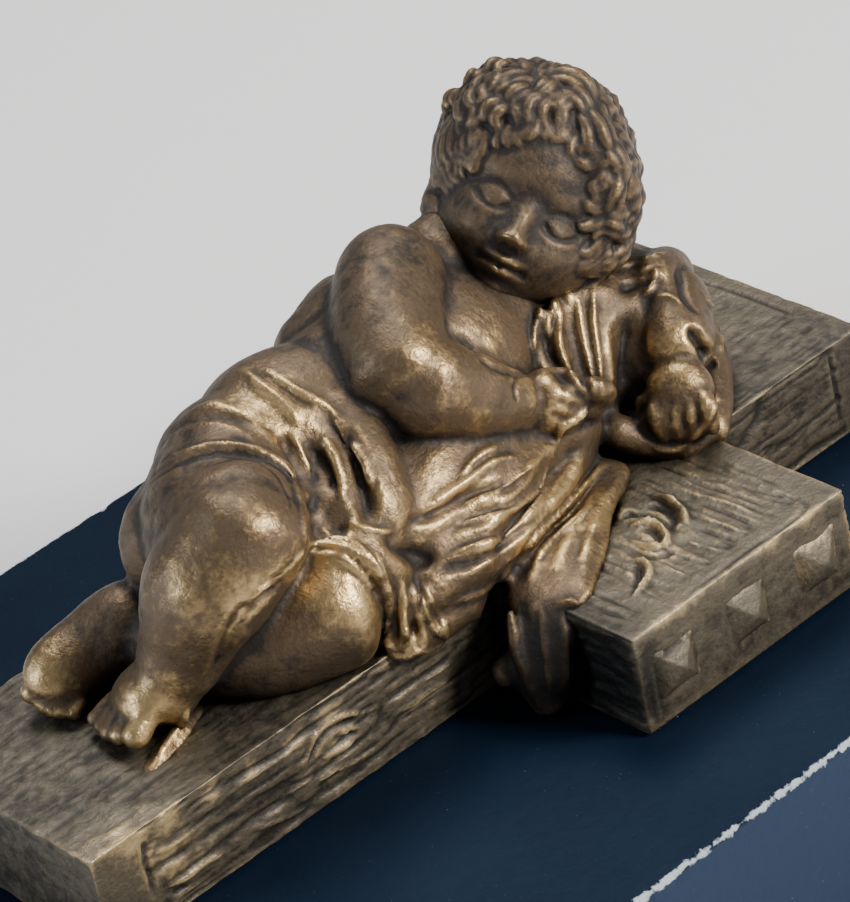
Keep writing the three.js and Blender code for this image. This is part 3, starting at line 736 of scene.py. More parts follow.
drapery = {
    "voxel": 0.55,
    "smooth": 5,
    "hipWrap": dict(
        stations=[
            (44, 22.5, 16, 9.4, 8), (50, 22, 17, 12.8, 11.8), (57, 21, 17, 12.8, 11.6),
                (63, 19.5, 15, 11.4, 10.6),
            (68, 17, 10, 9, 9),
        ],
        wide=(-0.2, 0.35, 0.92),
        sides=40,
    ),
    "thighWrap": dict(
        stations=[(56, 25, 17, 9), (50.5, 22.6, 17.8, 11.1), (45, 19.8, 17.6, 11.3),
            (41.5, 16.4, 18, 10.7)], sides=36,
    ),
    "bed": dict(
        stations=[(34, 18, 2, 8, 4), (46, 20, 4.5, 12.5, 7), (60, 20.5, 6, 14, 8.5),
            (76, 20, 6.5, 14, 9), (92, 20, 5, 12, 8)],
        wide=(0, 1, 0),
        sides=40,
    ),
    "sheet": dict(
        stations=[
            (48, 5, 1.5, 6, 2.6), (54, 5, 3.5, 8.5, 5), (63, 6, 4.5, 10.5, 6.5), (73, 8, 4.5, 10, 6.5),
                (82, 11, 4, 9, 6),
            (90, 14, 3, 7, 4),
        ],
        wide=(-0.1, 1, -0.25),
        sides=36,
    ),
    "belly": dict(
        stations=[(50, 6, 8, 5, 4), (57, 6.5, 10, 8, 6), (66, 8, 12, 9, 6), (75, 8.5, 10.5, 8, 5.5),
            (83, 9, 7.5, 6, 4.5)],
        wide=(-0.1, 0.7, 0.7),
    ),
    "lap": dict(
        stations=[(58, 20, 21, 7, 5), (55, 13.5, 18.4, 8, 5.6), (52.5, 8, 14, 7.6, 5.4),
            (50.5, 4, 9.6, 6, 4.6)],
        wide=(0.7, -0.2, 0.5),
    ),
    "gather": dict(stations=[(77, 8, 8, 5), (84, 7.4, 8, 5), (90.6, 7.6, 6.4, 3.8)]),
    "bundle": dict(
        stations=[(82, 21, 5, 8, 6), (92, 20, 8, 13.6, 9), (102, 20, 10, 15, 10.6),
            (110, 19.4, 7.6, 12, 8.4), (116.6, 18.6, 3.5, 8, 5)],
        wide=(0, 1, 0.05),
        sides=40,
    ),
    "mantle": dict(
        stations=[(116, 16, 2, 3.4), (113.6, 12, 3.2, 2.8), (110, 6.5, 2.6, 2.6),
            (105.4, 1.5, 1.6, 2.2), (100.5, -3, 0.6, 1.8)],
    ),
    "clothRoll": dict(stations=[(103, 9.5, 15, 2.6), (107, 11, 15.6, 3.4), (111.5, 14, 13.5, 3.6),
        (115, 18, 10.5, 3.4)]),
    "flap": dict(
        stations=[
            (90, 4, 1, 3, 1.8), (81, 0.8, 0.8, 4.2, 1.8), (72.8, -3.4, 0.5, 6, 1.6),
                (66.4, -8.2, 0, 5.6, 1.6),
            (64, -10.4, -1.2, 4, 1.5),
        ],
        wide=(0.5, -1, 0),
    ),
    "tail": dict(
        stations=[
            (65.6, -10, 0, 4.4, 2), (63, -9.6, -3.5, 4.2, 2.2), (61.4, -9.6, -7.4, 4.4, 2.2),
                (61.2, -9.8, -10.4, 3, 2),
            (60.6, -10.6, -13.4, 1.8, 1.4),
        ],
        wide=(0.35, -1, 0),
    ),
    "tailKnob": dict(stations=[(61, -5.6, -6.4, 1.2), (59, -6, -7.6, 1.7), (58.6, -7, -9.4, 1.2)]),
    "overhang": dict(stations=[(47, 0.6, 0.6, 2.2), (52, 0.2, 0.4, 3), (57.5, 0, 1.4, 3.6),
        (63, 0.2, 1.6, 3)]),
    "shoulderCloth": dict(
        stations=[(98, 15.5, 20, 7, 3), (95.8, 13, 16, 6.4, 3), (93.8, 10.2, 11.8, 5.6, 3.2),
            (91.6, 7.8, 7.4, 4.4, 3)],
        wide=(0.8, -0.5, -0.2),
    ),
    "chestCloth": dict(stations=[(90, 14.4, 19, 3), (88.8, 12, 14.5, 3.2), (88.6, 9.6, 11, 2.6)]),
    "graspedEdge": dict(stations=[(92, 6.4, 10, 1.1), (87.4, 5.4, 9.2, 1.5), (83.2, 4.8, 8.4, 1.5),
        (80.6, 4.4, 7.2, 1.1)]),
    "hollowFloor": dict(stations=[(103, 12, 12, 4), (100, 8, 8, 4.2), (98, 5, 4, 4)]),
    "web": dict(stations=[(90.6, 6, 5.6, 2.4), (93.7, 3.1, 2.6, 2.2), (97.5, -0.4, 1, 2),
        (103, -0.8, 1.2, 1.9)]),
    "underFoot": dict(stations=[(28, 13, -1, 1.6), (22.5, 10.6, -1, 1.8), (17.8, 8.8, -1.1, 1.6),
        (14.8, 7.6, -1.5, 1.5)]),
    "thighHem": dict(
        stations=[
            (36.6, 22.6, 22, 1.1), (39.5, 18.6, 26, 1.1), (42.4, 15.4, 26.8, 1.1), (45, 12.4, 25.4, 1.1),
            (46.5, 10.4, 22.6, 1.1), (46.4, 8.4, 19, 1.1),
        ],
        sides=12,
        rings=30,
    ),
    "kneeHem": dict(
        stations=[(46.8, 8, 18, 1.1), (46.4, 4, 16, 1.1), (49.4, 1.4, 12.4, 1.1),
            (50.8, -0.6, 7.6, 1.1), (50.2, -1.4, 3, 1.1)],
        sides=12,
        rings=30,
    ),
}

# fans of folds: two guide lines, how many, and how thick
foldFans = {
    "belly": (
        [(85.5, 4.6, 6.8), (77.8, 3, 10), (69.2, 2.3, 12.6), (61, 2.2, 13.2)],
        [(83, 3, 5), (76, -0.4, 6.4), (66, -2.6, 7.4), (57.5, -2.6, 4)], 6, 1.15,
    ),
    "neck": (
        [(90.2, 13.2, 21.5), (90, 12, 17), (90, 9.4, 13), (91, 6.9, 9)],
        [(102, 13, 20), (98.7, 10.6, 15), (96, 8.6, 10.5), (92.4, 6, 7.6)], 6, 1.0,
    ),
    "flap": (
        [(88.5, 5.3, 3), (80.1, 3.6, 2.4), (70.7, 0.7, 2), (63.7, -3.7, 1.4)],
        [(89.1, 1.9, 1.8), (81.7, -2, 1.6), (74.3, -7, 1.4), (67.3, -12.1, 0.6)], 4, 1.0,
    ),
    "tail": (
        [(61, -7, 1.4), (59.4, -8.6, -3.5), (59.6, -10, -8), (60, -11, -12)],
        [(68.4, -11.8, 0.4), (65.6, -11.8, -4), (63.8, -11.8, -8.4), (61.6, -11.4, -12.8)], 4, 0.95,
    ),
    "hem": (
        [(51, 1, 7), (49.2, -0.6, 4), (48.8, -1.2, 0.4), (49.6, -0.9, -1.2)],
        [(58.6, -2.6, 4.4), (58.6, -3, 0.6), (59.4, -1.8, -0.8), (59, -0.8, -1.8)], 5, 1.0,
    ),
}


def makeDrapery():
    bm = bmesh.new()
    for form in drapery.values():
        if isinstance(form, dict):
            addLimb(bm, **form)
    for guideA, guideB, count, girth in foldFans.values():
        addFolds(bm, guideA, guideB, count, girth)
    cloth = fused(toObject(bm, "drapery"), drapery["voxel"])
    return smoothed(cloth, drapery["smooth"])


cloth = makeDrapery()
print("drapery:", len(cloth.data.vertices), "points")

# Everything cast as one

casting = {
    "voxel": 0.37,
    "floorDepth": -0.8,
    "rough": ((0.13, 4.5, 41), (0.07, 1.7, 42), (0.03, 0.9, 43)),  # height, size and seed of each scale
}


def insideCross(points):
    # over the beam or the crossbar, a little within their edges
    x, y = points[:, 0], points[:, 1]
    beam = (x > 0.8) & (x < 129.2) & (y > 0.8) & (y < 36.6)
    bar = (x > 65.7) & (x < 100.9) & (y > -22.8) & (y < 60)
    return beam | bar


# Folds, hems and creases, each drawn where it shows in the 850 x 902 frame:
# points across and down, width and height in millimetres, sharpness
deepFolds = [
    ([(280, 430), (290, 452), (303, 480), (305, 496)], 1.6, -1.1, 1.5),  # hip
    ([(306, 438), (322, 462), (333, 480), (335, 492)], 1.3, -1.0, 1.5),
    ([(326, 416), (345, 440), (358, 470), (366, 500), (370, 530)], 2.0, -1.8, 1.4),
    ([(312, 516), (330, 524), (352, 532)], 3.4, -1.1, 1.2),  # hollow behind the knee hem
    ([(300, 556), (270, 590), (240, 618), (222, 655), (205, 690)], 1.5, -1.0, 1.4),  # between the legs
    ([(585, 440), (560, 470), (530, 510), (510, 540), (500, 570),
        (497, 620)], 2.8, -2.4, 1.4),  # sheet and flap
    ([(540, 462), (510, 485), (470, 495), (430, 515), (400, 524)], 1.4, -0.9, 1.5),  # sheet
    ([(548, 478), (520, 503), (490, 512), (440, 532)], 1.3, -0.9, 1.5),
    ([(545, 500), (512, 528), (470, 540), (435, 557)], 1.3, -0.9, 1.5),
    ([(530, 530), (500, 556), (460, 565), (428, 570)], 1.3, -0.8, 1.5),
    ([(380, 535), (410, 552), (440, 562)], 2.0, -1.2, 1.4),
    ([(552, 322), (548, 345), (560, 372), (576, 388)], 1.8, -1.5, 1.4),  # neck cloth
    ([(630, 300), (628, 350), (632, 395), (640, 424)], 2.6, -2.2, 1.2),  # recess beside the left hand
    ([(688, 324), (702, 344), (714, 370)], 1.3, -2.4, 1.5),
    ([(558, 386), (572, 391), (586, 399)], 0.6, -0.5, 1.5),  # right fingers
    ([(553, 399), (567, 404), (581, 411)], 0.6, -0.5, 1.5),
    ([(548, 412), (560, 417), (571, 422)], 0.6, -0.45, 1.5),
    ([(672, 394), (668, 410), (672, 430)], 0.7, -0.45, 1.5),  # left fingers
    ([(684, 398), (682, 414), (686, 434)], 0.7, -0.45, 1.5),
    ([(697, 396), (697, 412), (700, 428)], 0.7, -0.45, 1.5),
    ([(615, 292), (640, 283), (668, 278)], 1.2, -0.9, 1.5),  # cloth over the left arm
    ([(678, 262), (683, 296), (700, 318)], 1.1, -0.8, 1.5),
    ([(648, 300), (664, 296), (684, 304), (706, 326)], 0.9, 0.6, 1.6),
    ([(440, 325), (470, 345), (490, 365), (512, 373), (548, 372)], 1.2, -0.8, 1.6),  # arm and chest
    ([(395, 600), (393, 642)], 1.0, -0.8, 1.5),
    ([(414, 596), (416, 642)], 1.0, -0.9, 1.5),
    ([(433, 600), (441, 628)], 1.0, -0.7, 1.5),
]
fineFolds = [
    ([(146, 479), (165, 463), (188, 452), (222, 444), (257, 450), (284, 466), (297, 492), (303, 530),
        (303, 547)], 1.2, 0.5, 2),
    ([(140, 492), (166, 472), (190, 460), (222, 453), (252, 459), (276, 474), (288, 497),
        (292, 530)], 1.0, -0.35, 2),
    ([(233, 362), (262, 385), (290, 410), (300, 432)], 1.3, 0.5, 1.6),
    ([(258, 362), (300, 392), (328, 408), (345, 436), (352, 480)], 1.2, 0.5, 1.6),
    ([(245, 362), (280, 388), (316, 412)], 0.9, -0.4, 1.6),
    ([(290, 428), (302, 455), (312, 480)], 1.0, 0.6, 1.6),
    ([(320, 432), (335, 460), (342, 490), (341, 504)], 1.0, 0.7, 1.6),
    ([(350, 438), (365, 463), (373, 492)], 1.0, 0.9, 1.8),
    ([(160, 440), (190, 428), (222, 425), (262, 442)], 1.6, 0.3, 1.5),
    ([(175, 420), (215, 405), (255, 424), (282, 452)], 1.6, 0.3, 1.5),
    ([(345, 522), (370, 530), (396, 532)], 1.0, 0.6, 1.6),
    ([(310, 542), (345, 540), (372, 560), (386, 590)], 0.9, 0.6, 1.8),
    ([(372, 545), (384, 575), (390, 600), (388, 642)], 1.0, 0.5, 1.8),
    ([(545, 453), (520, 475), (490, 495), (460, 506)], 1.1, 0.6, 1.6),
    ([(551, 461), (535, 490), (510, 510), (480, 520), (445, 524)], 1.1, 0.8, 1.6),
    ([(553, 472), (536, 505), (505, 535), (480, 545), (452, 552)], 1.2, 0.7, 1.6),
    ([(540, 522), (512, 545), (490, 560), (458, 578)], 1.1, 0.5, 1.6),
    ([(515, 562), (490, 588), (450, 604)], 1.0, 0.5, 1.6),
    ([(502, 444), (476, 458), (458, 480)], 1.1, 0.5, 1.6),
    ([(526, 456), (495, 461), (470, 478), (440, 500), (418, 516)], 1.1, 0.6, 1.6),
    ([(405, 588), (403, 620), (408, 646)], 0.9, 0.7, 1.6),
    ([(420, 590), (428, 620), (444, 640)], 0.9, 0.7, 1.6),
    ([(388, 596), (385, 630), (392, 656)], 0.9, 0.6, 1.6),
    ([(608, 458), (590, 480), (560, 510), (530, 540), (520, 556)], 0.8, 0.9, 1.8),
    ([(597, 498), (575, 520), (546, 545), (532, 568)], 0.9, 0.6, 1.6),
    ([(600, 472), (572, 512), (538, 542)], 0.8, -0.6, 1.6),
    ([(540, 600), (545, 650), (550, 700)], 1.0, 0.4, 1.6),
    ([(560, 608), (566, 650), (565, 700)], 1.0, 0.4, 1.6),
    ([(545, 300), (534, 330), (533, 356)], 0.9, 0.6, 1.6),
    ([(561, 290), (547, 320), (549, 342)], 0.9, 0.6, 1.6),
    ([(561, 300), (558, 340), (568, 370), (591, 401)], 0.9, 0.8, 1.6),
    ([(576, 286), (581, 330), (590, 370), (595, 401)], 0.9, 0.6, 1.6),
    ([(594, 286), (593, 320), (598, 360), (604, 405)], 0.9, 0.7, 1.6),
    ([(590, 403), (576, 418), (560, 428), (558, 446)], 0.8, 0.9, 1.8),
    ([(518, 374), (514, 388), (517, 404)], 0.8, -0.5, 1.8),
    ([(192, 706), (176, 730), (152, 768)], 0.9, 0.8, 1.8),
    ([(640, 440), (670, 451), (700, 430), (714, 408), (717, 385)], 1.0, 0.5, 1.6),
    ([(612, 268), (640, 262), (668, 252)], 0.9, 0.6, 1.6),
    ([(656, 262), (653, 284), (640, 300)], 0.8, 0.6, 1.6),
    ([(626, 276), (648, 272), (660, 264)], 0.7, -0.4, 1.6),
    ([(700, 290), (718, 320), (722, 360)], 0.8, 0.4, 1.6),
    ([(603, 452), (596, 470), (575, 494), (548, 520)], 0.7, 0.5, 1.8),
]

# narrow hems laid along the surface: points in the frame, half the thickness
hems = [
    ([(303, 551), (290, 566), (270, 581), (252, 596), (241, 612), (231, 632), (219, 654)], 0.5),
    ([(306, 545), (325, 545), (347, 549), (368, 563), (381, 584), (388, 606), (391, 632),
        (389, 652)], 0.55),
    ([(314, 554), (338, 556), (358, 570), (372, 590)], 0.35),
    ([(292, 470), (299, 492), (303, 520), (304, 543)], 0.4),
    ([(402, 582), (401, 606), (403, 630), (402, 652)], 0.55),
    ([(412, 584), (416, 606), (422, 628), (424, 648)], 0.5),
    ([(424, 586), (433, 606), (441, 622), (446, 638)], 0.5),
    ([(390, 655), (404, 657), (416, 651), (430, 650), (446, 640)], 0.45),
    ([(520, 566), (524, 552), (540, 534), (560, 516), (582, 492), (606, 462)], 0.5),
    ([(556, 606), (572, 602), (586, 612)], 0.45),
]


def addHems(piece, lines):
    tree = treeOf([piece])
    bm = bmesh.new()
    for pixels, girth in lines:
        path = onSurface(tree, pixels)
        if len(path) > 2:
            last = len(path) - 1
            stations = [
                (*(p[:3] + p[3:] * 0.25 * girth), girth * (0.55 + 0.45 * math.sin(math.pi * i / last)))
                for i, p in enumerate(path)
            ]
            addLimb(bm, stations, sides=12, rings=60)
    return joined([piece, toObject(bm, "hems")], piece.name)


def makeFigure():
    whole = joined([skin, ends, cloth], "bronze_figure")
    points = readPoints(whole.data)
    low = insideCross(points) & (points[:, 2] < casting["floorDepth"])
    points[low, 2] = casting["floorDepth"] + 0.02 * (points[low, 2] - casting["floorDepth"])
    writePoints(whole.data, points)
    whole = smoothed(fused(whole, casting["voxel"]), 1)
    strokes(whole, deepFolds)
    whole = addHems(whole, hems)
    whole = smoothed(fused(whole, casting["voxel"]), 1)
    strokes(whole, fineFolds)
    points = readPoints(whole.data)
    rough = sum(height * valueNoise(points, size, seed) for height, size, seed in casting["rough"])
    writePoints(whole.data, points + readNormals(whole.data) * rough[:, None])
    return whole


figure = makeFigure()
print("figure:", len(figure.data.vertices), "points", len(figure.data.polygons), "faces")

# The timber cross

cross = {
    "length": 130,
    "thickness": 14,
    "beamWidth": 37.4,
    "barWidth": 36.8,
    "barReach": 23.6,
    "barFromFoot": 64.9,
    "voxel": 0.36,
    "studs": 3,
    "studHeight": 1.7,
    "studRadius": 0.44,  # a share of the pitch
    "studRoot": 0.3,  # how far a stud reaches into the arm's end
    "studDents": ((0.14, 2.2, 51), (0.06, 0.9, 52)),
    "panelMargin": 3.4,
    "sideKnot": (35.2, -5.8),  # along the beam and below its top
    "topKnot": (82, -9.7),
    "grainDepth": 0.3,
}

# Carved lines on the timber: points in the 850 x 902 frame, width, height, sharpness
timberLines = [
    ([(646, 497), (662, 500), (675, 505), (684, 514), (688, 527)], 0.9, 1.5, 2),  # the curled knot
    ([(640, 505), (658, 508), (671, 515), (677, 529)], 1.0, -0.8, 1.6),
    ([(624, 530), (640, 523), (656, 525), (666, 534), (666, 545), (654, 549), (640, 545),
        (628, 538)], 0.75, 1.1, 2),
    ([(636, 532), (649, 530), (658, 538), (652, 544), (642, 540)], 0.8, -0.7, 1.6),
    ([(612, 524), (630, 514), (650, 515), (668, 524), (676, 540)], 1.0, -0.7, 1.6),
    ([(622, 549), (642, 557), (664, 556), (676, 548)], 0.8, -0.7, 1.6),
    ([(630, 560), (644, 562), (650, 571), (642, 588), (630, 600)], 0.7, 1.1, 2),
    ([(630, 566), (640, 573), (634, 588)], 0.8, -0.6, 1.6),
    ([(604, 480), (612, 500), (606, 538)], 1.6, -0.9, 1.5),
    ([(150, 856), (165, 848), (180, 838), (196, 824)], 0.55, 0.5, 2),  # the front of the beam
    ([(158, 866), (176, 857), (192, 846)], 0.6, -0.4, 2),
    ([(158, 890), (185, 878), (206, 862), (232, 849)], 0.6, 0.6, 2),
    ([(168, 896), (196, 882), (214, 868)], 0.6, -0.45, 2),
    ([(205, 800), (240, 775), (275, 755), (300, 735), (330, 712)], 0.6, -0.55, 2),
    ([(210, 806), (245, 781), (280, 759), (304, 741)], 0.45, 0.4, 2),
    ([(222, 812), (262, 784), (296, 762)], 0.5, -0.4, 2),
    ([(296, 776), (306, 756), (316, 734), (328, 722), (345, 715), (366, 711), (386, 700)], 0.5, 0.6, 2),
    ([(305, 772), (314, 752), (325, 733), (343, 723), (362, 719)], 0.6, -0.6, 2),
    ([(284, 795), (300, 785), (318, 772)], 0.5, 0.4, 2),
    ([(310, 790), (328, 774), (346, 765), (362, 757), (380, 746)], 0.5, 0.5, 2),
    ([(318, 760), (332, 752), (345, 746), (356, 737)], 0.9, 0.6, 2),
    ([(326, 762), (342, 755), (358, 744)], 0.45, -0.5, 2),
    ([(338, 736), (350, 729), (362, 725)], 0.55, 0.45, 2),
    ([(330, 741), (345, 735), (360, 731)], 0.45, -0.45, 2),
    ([(320, 797), (345, 780), (372, 764)], 0.5, -0.4, 2),
    ([(388, 716), (410, 705), (430, 690), (458, 674)], 0.5, 0.5, 2),
    ([(394, 722), (418, 710), (444, 690)], 0.5, -0.4, 2),
    ([(378, 705), (400, 692), (430, 672), (452, 655)], 0.5, -0.45, 2),
    ([(416, 684), (440, 669), (460, 654)], 0.5, 0.45, 2),
    ([(250, 831), (280, 820), (312, 803)], 0.6, 0.4, 2),
    ([(236, 828), (262, 812), (290, 797)], 0.5, -0.4, 2),
    ([(142, 838), (146, 862), (157, 902)], 0.7, -0.6, 2),
    ([(828, 348), (836, 390), (844, 446)], 0.6, -0.5, 2),  # the head end
    ([(682, 276), (740, 294), (800, 318)], 0.5, -0.35, 2),
    ([(686, 470), (760, 492), (806, 505), (740, 556), (664, 612)], 0.5, -0.3, 2),  # panel on the arm
    ([(672, 470), (702, 485), (738, 496), (778, 512)], 0.5, -0.35, 2),
    ([(664, 478), (692, 493), (728, 503), (766, 520)], 0.5, 0.3, 2),
    ([(700, 504), (726, 513), (760, 528)], 0.5, -0.35, 2),
    ([(692, 512), (720, 524), (750, 535)], 0.5, 0.3, 2),
    ([(694, 527), (716, 535), (740, 544)], 0.5, -0.35, 2),
    ([(684, 541), (706, 548), (728, 553)], 0.5, 0.3, 2),
    ([(678, 556), (698, 562), (716, 564)], 0.5, -0.3, 2),
    ([(662, 566), (682, 574), (700, 576)], 0.5, 0.3, 2),
    ([(582, 588), (604, 598), (630, 610)], 0.5, -0.3, 2),
    ([(736, 612), (741, 655)], 0.6, -0.3, 2),
    ([(650, 660), (656, 700), (662, 722)], 0.7, 0.45, 2),
]


def addBlock(bm, x0, x1, y0, y1, z0, z1):
    made = bmesh.ops.create_cube(bm, size=1)
    bmesh.ops.scale(bm, vec=(x1 - x0, y1 - y0, z1 - z0), verts=made["verts"])
    bmesh.ops.translate(bm, vec=((x0 + x1) / 2, (y0 + y1) / 2, (z0 + z1) / 2), verts=made["verts"])


def makeStuds():
    # crisp pyramids on both ends of the arms
    bm = bmesh.new()
    pitch = cross["barWidth"] / cross["studs"]
    for face, outward in ((-cross["barReach"], -1), (cross["beamWidth"] + cross["barReach"], 1)):
        for i in range(cross["studs"]):
            made = bmesh.ops.create_cone(
                bm, cap_ends=True, segments=4, radius1=cross["studRadius"] * pitch, radius2=0.5,
                depth=cross["studHeight"] + cross["studRoot"],
            )
            turns = Matrix.Rotation(-outward * math.pi / 2, 3, "X") @ Matrix.Rotation(math.pi / 4, 3, "Z")
            bmesh.ops.rotate(bm, cent=(0, 0, 0), matrix=turns, verts=made["verts"])
            out = face + outward * (cross["studHeight"] - cross["studRoot"]) / 2
            place = (cross["barFromFoot"] + (i + 0.5) * pitch, out, -cross["thickness"] / 2)
            bmesh.ops.translate(bm, vec=place, verts=made["verts"])
    bmesh.ops.bevel(bm, geom=bm.edges[:], offset=0.22, affect="EDGES", segments=2, profile=0.5, material=-1)
    long = [edge for edge in bm.edges if edge.calc_length() > 0.8]
    bmesh.ops.subdivide_edges(bm, edges=long, cuts=10, use_grid_fill=True)
    bmesh.ops.triangulate(bm, faces=bm.faces[:])
    studs = toObject(bm, "studs", False)
    points = readPoints(studs.data)
    dents = sum(height * valueNoise(points, size, seed) for height, size, seed in cross["studDents"])
    writePoints(studs.data, points + readNormals(studs.data) * dents[:, None])
    return studs


def grainLift(points, normals):
    # long carved gouges that run with the timber and part round the knots
    x, y, z = points.T
    x0, x1 = cross["barFromFoot"], cross["barFromFoot"] + cross["barWidth"]
    onArm = ((y < -0.3) | (y > cross["beamWidth"] + 0.3)) & (x > x0 - 1) & (x < x1 + 1)
    side = np.abs(normals[:, 1]) > 0.7
    top = normals[:, 2] > 0.7
    endGrain = ~top & (np.abs(normals[:, 2]) < 0.5) & ((np.abs(normals[:, 0]) > 0.7) != onArm)
    along = np.where(onArm, y, x)
    acrossTop = np.where(onArm, x, y)
    cut = np.where(side | (np.abs(normals[:, 0]) > 0.7), z, acrossTop)
    kx, kz = cross["sideKnot"]
    away = cut - kz
    part = 1.5 * np.sign(away) * np.exp(-((along - kx) / 6) ** 2 - np.abs(away) / 4)
    cut = np.where(side & ~onArm, cut - part, cut)
    cut = cut + 0.6 * valueNoise(np.stack([along, cut, cut * 0], 1), (11, 5, 1), 3)
    flow = np.stack([along, cut, normals[:, 1].round() * 7 + onArm], 1)
    coarse = valueNoise(flow, (13, 1.15, 1), 5)
    fine = valueNoise(flow, (6, 0.55, 1), 6)
    groove = -np.clip(1 - np.abs(coarse) / 0.34, 0, 1) ** 1.5 - 0.35 * np.clip(1 - np.abs(fine) / 0.3, 0, 1)
    rough = valueNoise(points, 2.6, 8) * 0.12 + valueNoise(points, 1.1, 9) * 0.07
    amount = np.where(top, 0.34, 1.0)
    amount = np.where(top & onArm, 0.7, amount)
    amount = np.where(endGrain, 0.12, amount)
    edge = cross["panelMargin"]
    plain = top & onArm & ((x > x1 - edge) | (x < x0 + 1.2) | (y < -cross["barReach"] + edge))
    plain |= side & ~onArm & ((x < 7.2) | (x > cross["length"] - 5))
    plain |= top & (x > cross["length"] - edge)
    amount = np.where(plain, 0.06, amount)
    return cross["grainDepth"] * amount * groove + rough * np.where(plain, 0.6, 1.0)


def makeCross():
    c = cross
    bm = bmesh.new()
    addBlock(bm, 0, c["length"], 0, c["beamWidth"], -c["thickness"], 0)
    x0, x1 = c["barFromFoot"], c["barFromFoot"] + c["barWidth"]
    addBlock(bm, x0, x1, -c["barReach"], c["beamWidth"] + c["barReach"], -c["thickness"], 0)
    timber = smoothed(fused(toObject(bm, "timber"), c["voxel"]), 1, False)
    points, normals = readPoints(timber.data), readNormals(timber.data)
    points += normals * (grainLift(points, normals) * (normals[:, 2] > -0.5))[:, None]
    writePoints(timber.data, points)
    strokes(timber, timberLines)
    return joined([timber, makeStuds()], "bronze_cross")


timber = makeCross()
print("cross:", len(timber.data.vertices), "points", len(timber.data.polygons), "faces")

# Wear, gilding, and painted shade with grime in the hollows are kept on the mesh: red how worn, green how
# open, blue how golden

wearShadeAndTone = {
    "triangles": 190000,
    # reach and rays set the search for openness, which darkens the hollows as painted shade with grime
    "reach": 14,
    "rays": 14,
    "crests": ((3, 0.9), (24, 0.55)),  # rounds of evening and how much they count
    "figure": 0.24,
    "head": 0.2,
    "cross": 0.24,
}

# places where the gold shows, or painted shade if below 0, and a few painted highlights: the 850 x 902 frame,
# radius in millimetres, strength
goldAndPaintedLightSpots = [
    (500, 350, 4.5, 0.5), (470, 335, 3.5, 0.3), (425, 480, 4.5, 0.4), (400, 510, 3, 0.25),
        (470, 455, 4, 0.25),
    (460, 520, 6, 0.12), (505, 500, 5, 0.25), (480, 545, 5, 0.2), (540, 465, 3, 0.3), (262, 395, 3.5, 0.6),
    (285, 420, 3, 0.6), (225, 395, 5, 0.2), (340, 590, 4.6, 0.85), (330, 570, 3, 0.5), (200, 590, 5, 0.35),
    (205, 640, 5, 0.35), (180, 560, 4, 0.2), (50, 672, 3, 0.8), (155, 700, 3, 0.7), (140, 725, 2.5, 0.5),
    (175, 735, 2.5, 0.7), (430, 345, 3.2, 0.5), (465, 380, 3.4, 0.3), (545, 390, 3, 0.45),
        (570, 425, 2, 0.6),
    (675, 345, 3, 0.5), (680, 385, 2.4, 0.4), (565, 520, 3.4, 0.9), (585, 485, 3, 0.7), (545, 565, 3, 0.6),
    # on this line and the next, the spots below 0 are painted shade on the hanging tail and on the crossbar's
    # side that lies in shadow
    (555, 650, 6, -0.35), (545, 690, 5, -0.3), (605, 695, 3.4, -0.8), (612, 660, 3, -0.8),
    (588, 652, 2.6, -0.8), (625, 690, 3, -0.8),
    (405, 625, 3.6, 0.6), (435, 620, 3, 0.5), (600, 350, 4, 0.35), (580, 330, 3, 0.3),
    (565, 300, 3, 0.3), (655, 268, 2.2, 0.5), (115, 838, 3.6, 0.6), (170, 845, 3.5, 0.4),
        (190, 875, 3.5, 0.4),
    (335, 752, 3, 0.5), (420, 700, 4, 0.3), (630, 590, 6, 0.4), (650, 540, 3, 0.4), (700, 520, 8, 0.28),
    (770, 500, 6, 0.2), (700, 470, 6, 0.15), (670, 690, 2.6, 0.35), (730, 310, 8, 0.2), (320, 450, 4, 0.3),
    (270, 560, 3.4, 0.2), (360, 540, 3, 0.3), (283, 571, 1.2, 0.8), (262, 589, 1.2, 0.9),
        (245, 606, 1.2, 0.9),
    # from (660, 628) on this line to (808, 517): spots along the crossbar's front top edge, rubbed edge wear
    # and a painted highlight line in one
    (231, 632, 1.2, 0.7), (262, 512, 2, 0.6), (395, 645, 1.6, 0.7), (660, 628, 1.6, 0.25),
        (690, 606, 1.8, 0.25),
    (730, 582, 1.8, 0.25), (770, 552, 1.8, 0.25), (808, 517, 1.6, 0.25), (130, 838, 1.2, 0.7),
        (170, 816, 1.2, 0.7),
    (210, 792, 1.2, 0.7), (250, 768, 1.2, 0.7), (290, 743, 1.2, 0.7), (330, 716, 1.2, 0.7),
        # (715, 695) on this line: a painted glint on the crossbar's lower edge
        (715, 695, 1.2, 0.6),
]


def openness(tree, points, normals, edges):
    # how much of the space round each point is free, from a quarter of the points; the colour is later
    # darkened where little is free, which paints shade and grime into the hollows
    count = wearShadeAndTone["rays"]
    golden = math.pi * (3 - math.sqrt(5))
    local = []
    for i in range(count):
        up = math.sqrt(1 - (i + 0.5) / count)
        flat = math.sqrt(1 - up * up)
        local.append((flat * math.cos(i * golden), flat * math.sin(i * golden), up))
    local = np.array(local)
    chosen = np.arange(0, len(points), 4)
    n = normals[chosen]
    helper = np.where(np.abs(n[:, 2:3]) < 0.9, [[0, 0, 1.0]], [[1.0, 0, 0]])
    one = unit(np.cross(helper, n))
    two = np.cross(n, one)
    total = np.zeros(len(chosen))
    start = points[chosen] + n * 0.12
    for a, b, c in local:
        ways = one * a + two * b + n * c
        for i in range(len(chosen)):
            hit = tree.ray_cast(start[i], ways[i], wearShadeAndTone["reach"])
            total[i] += 1 if hit[0] is None else min(hit[3] / wearShadeAndTone["reach"], 1) * 0.8
    free, known = np.zeros(len(points)), np.zeros(len(points))
    free[chosen] = total / count
    known[chosen] = 1
    free, known = evened(free, edges, 5), evened(known, edges, 5)
    return free / np.maximum(known, 1e-6)


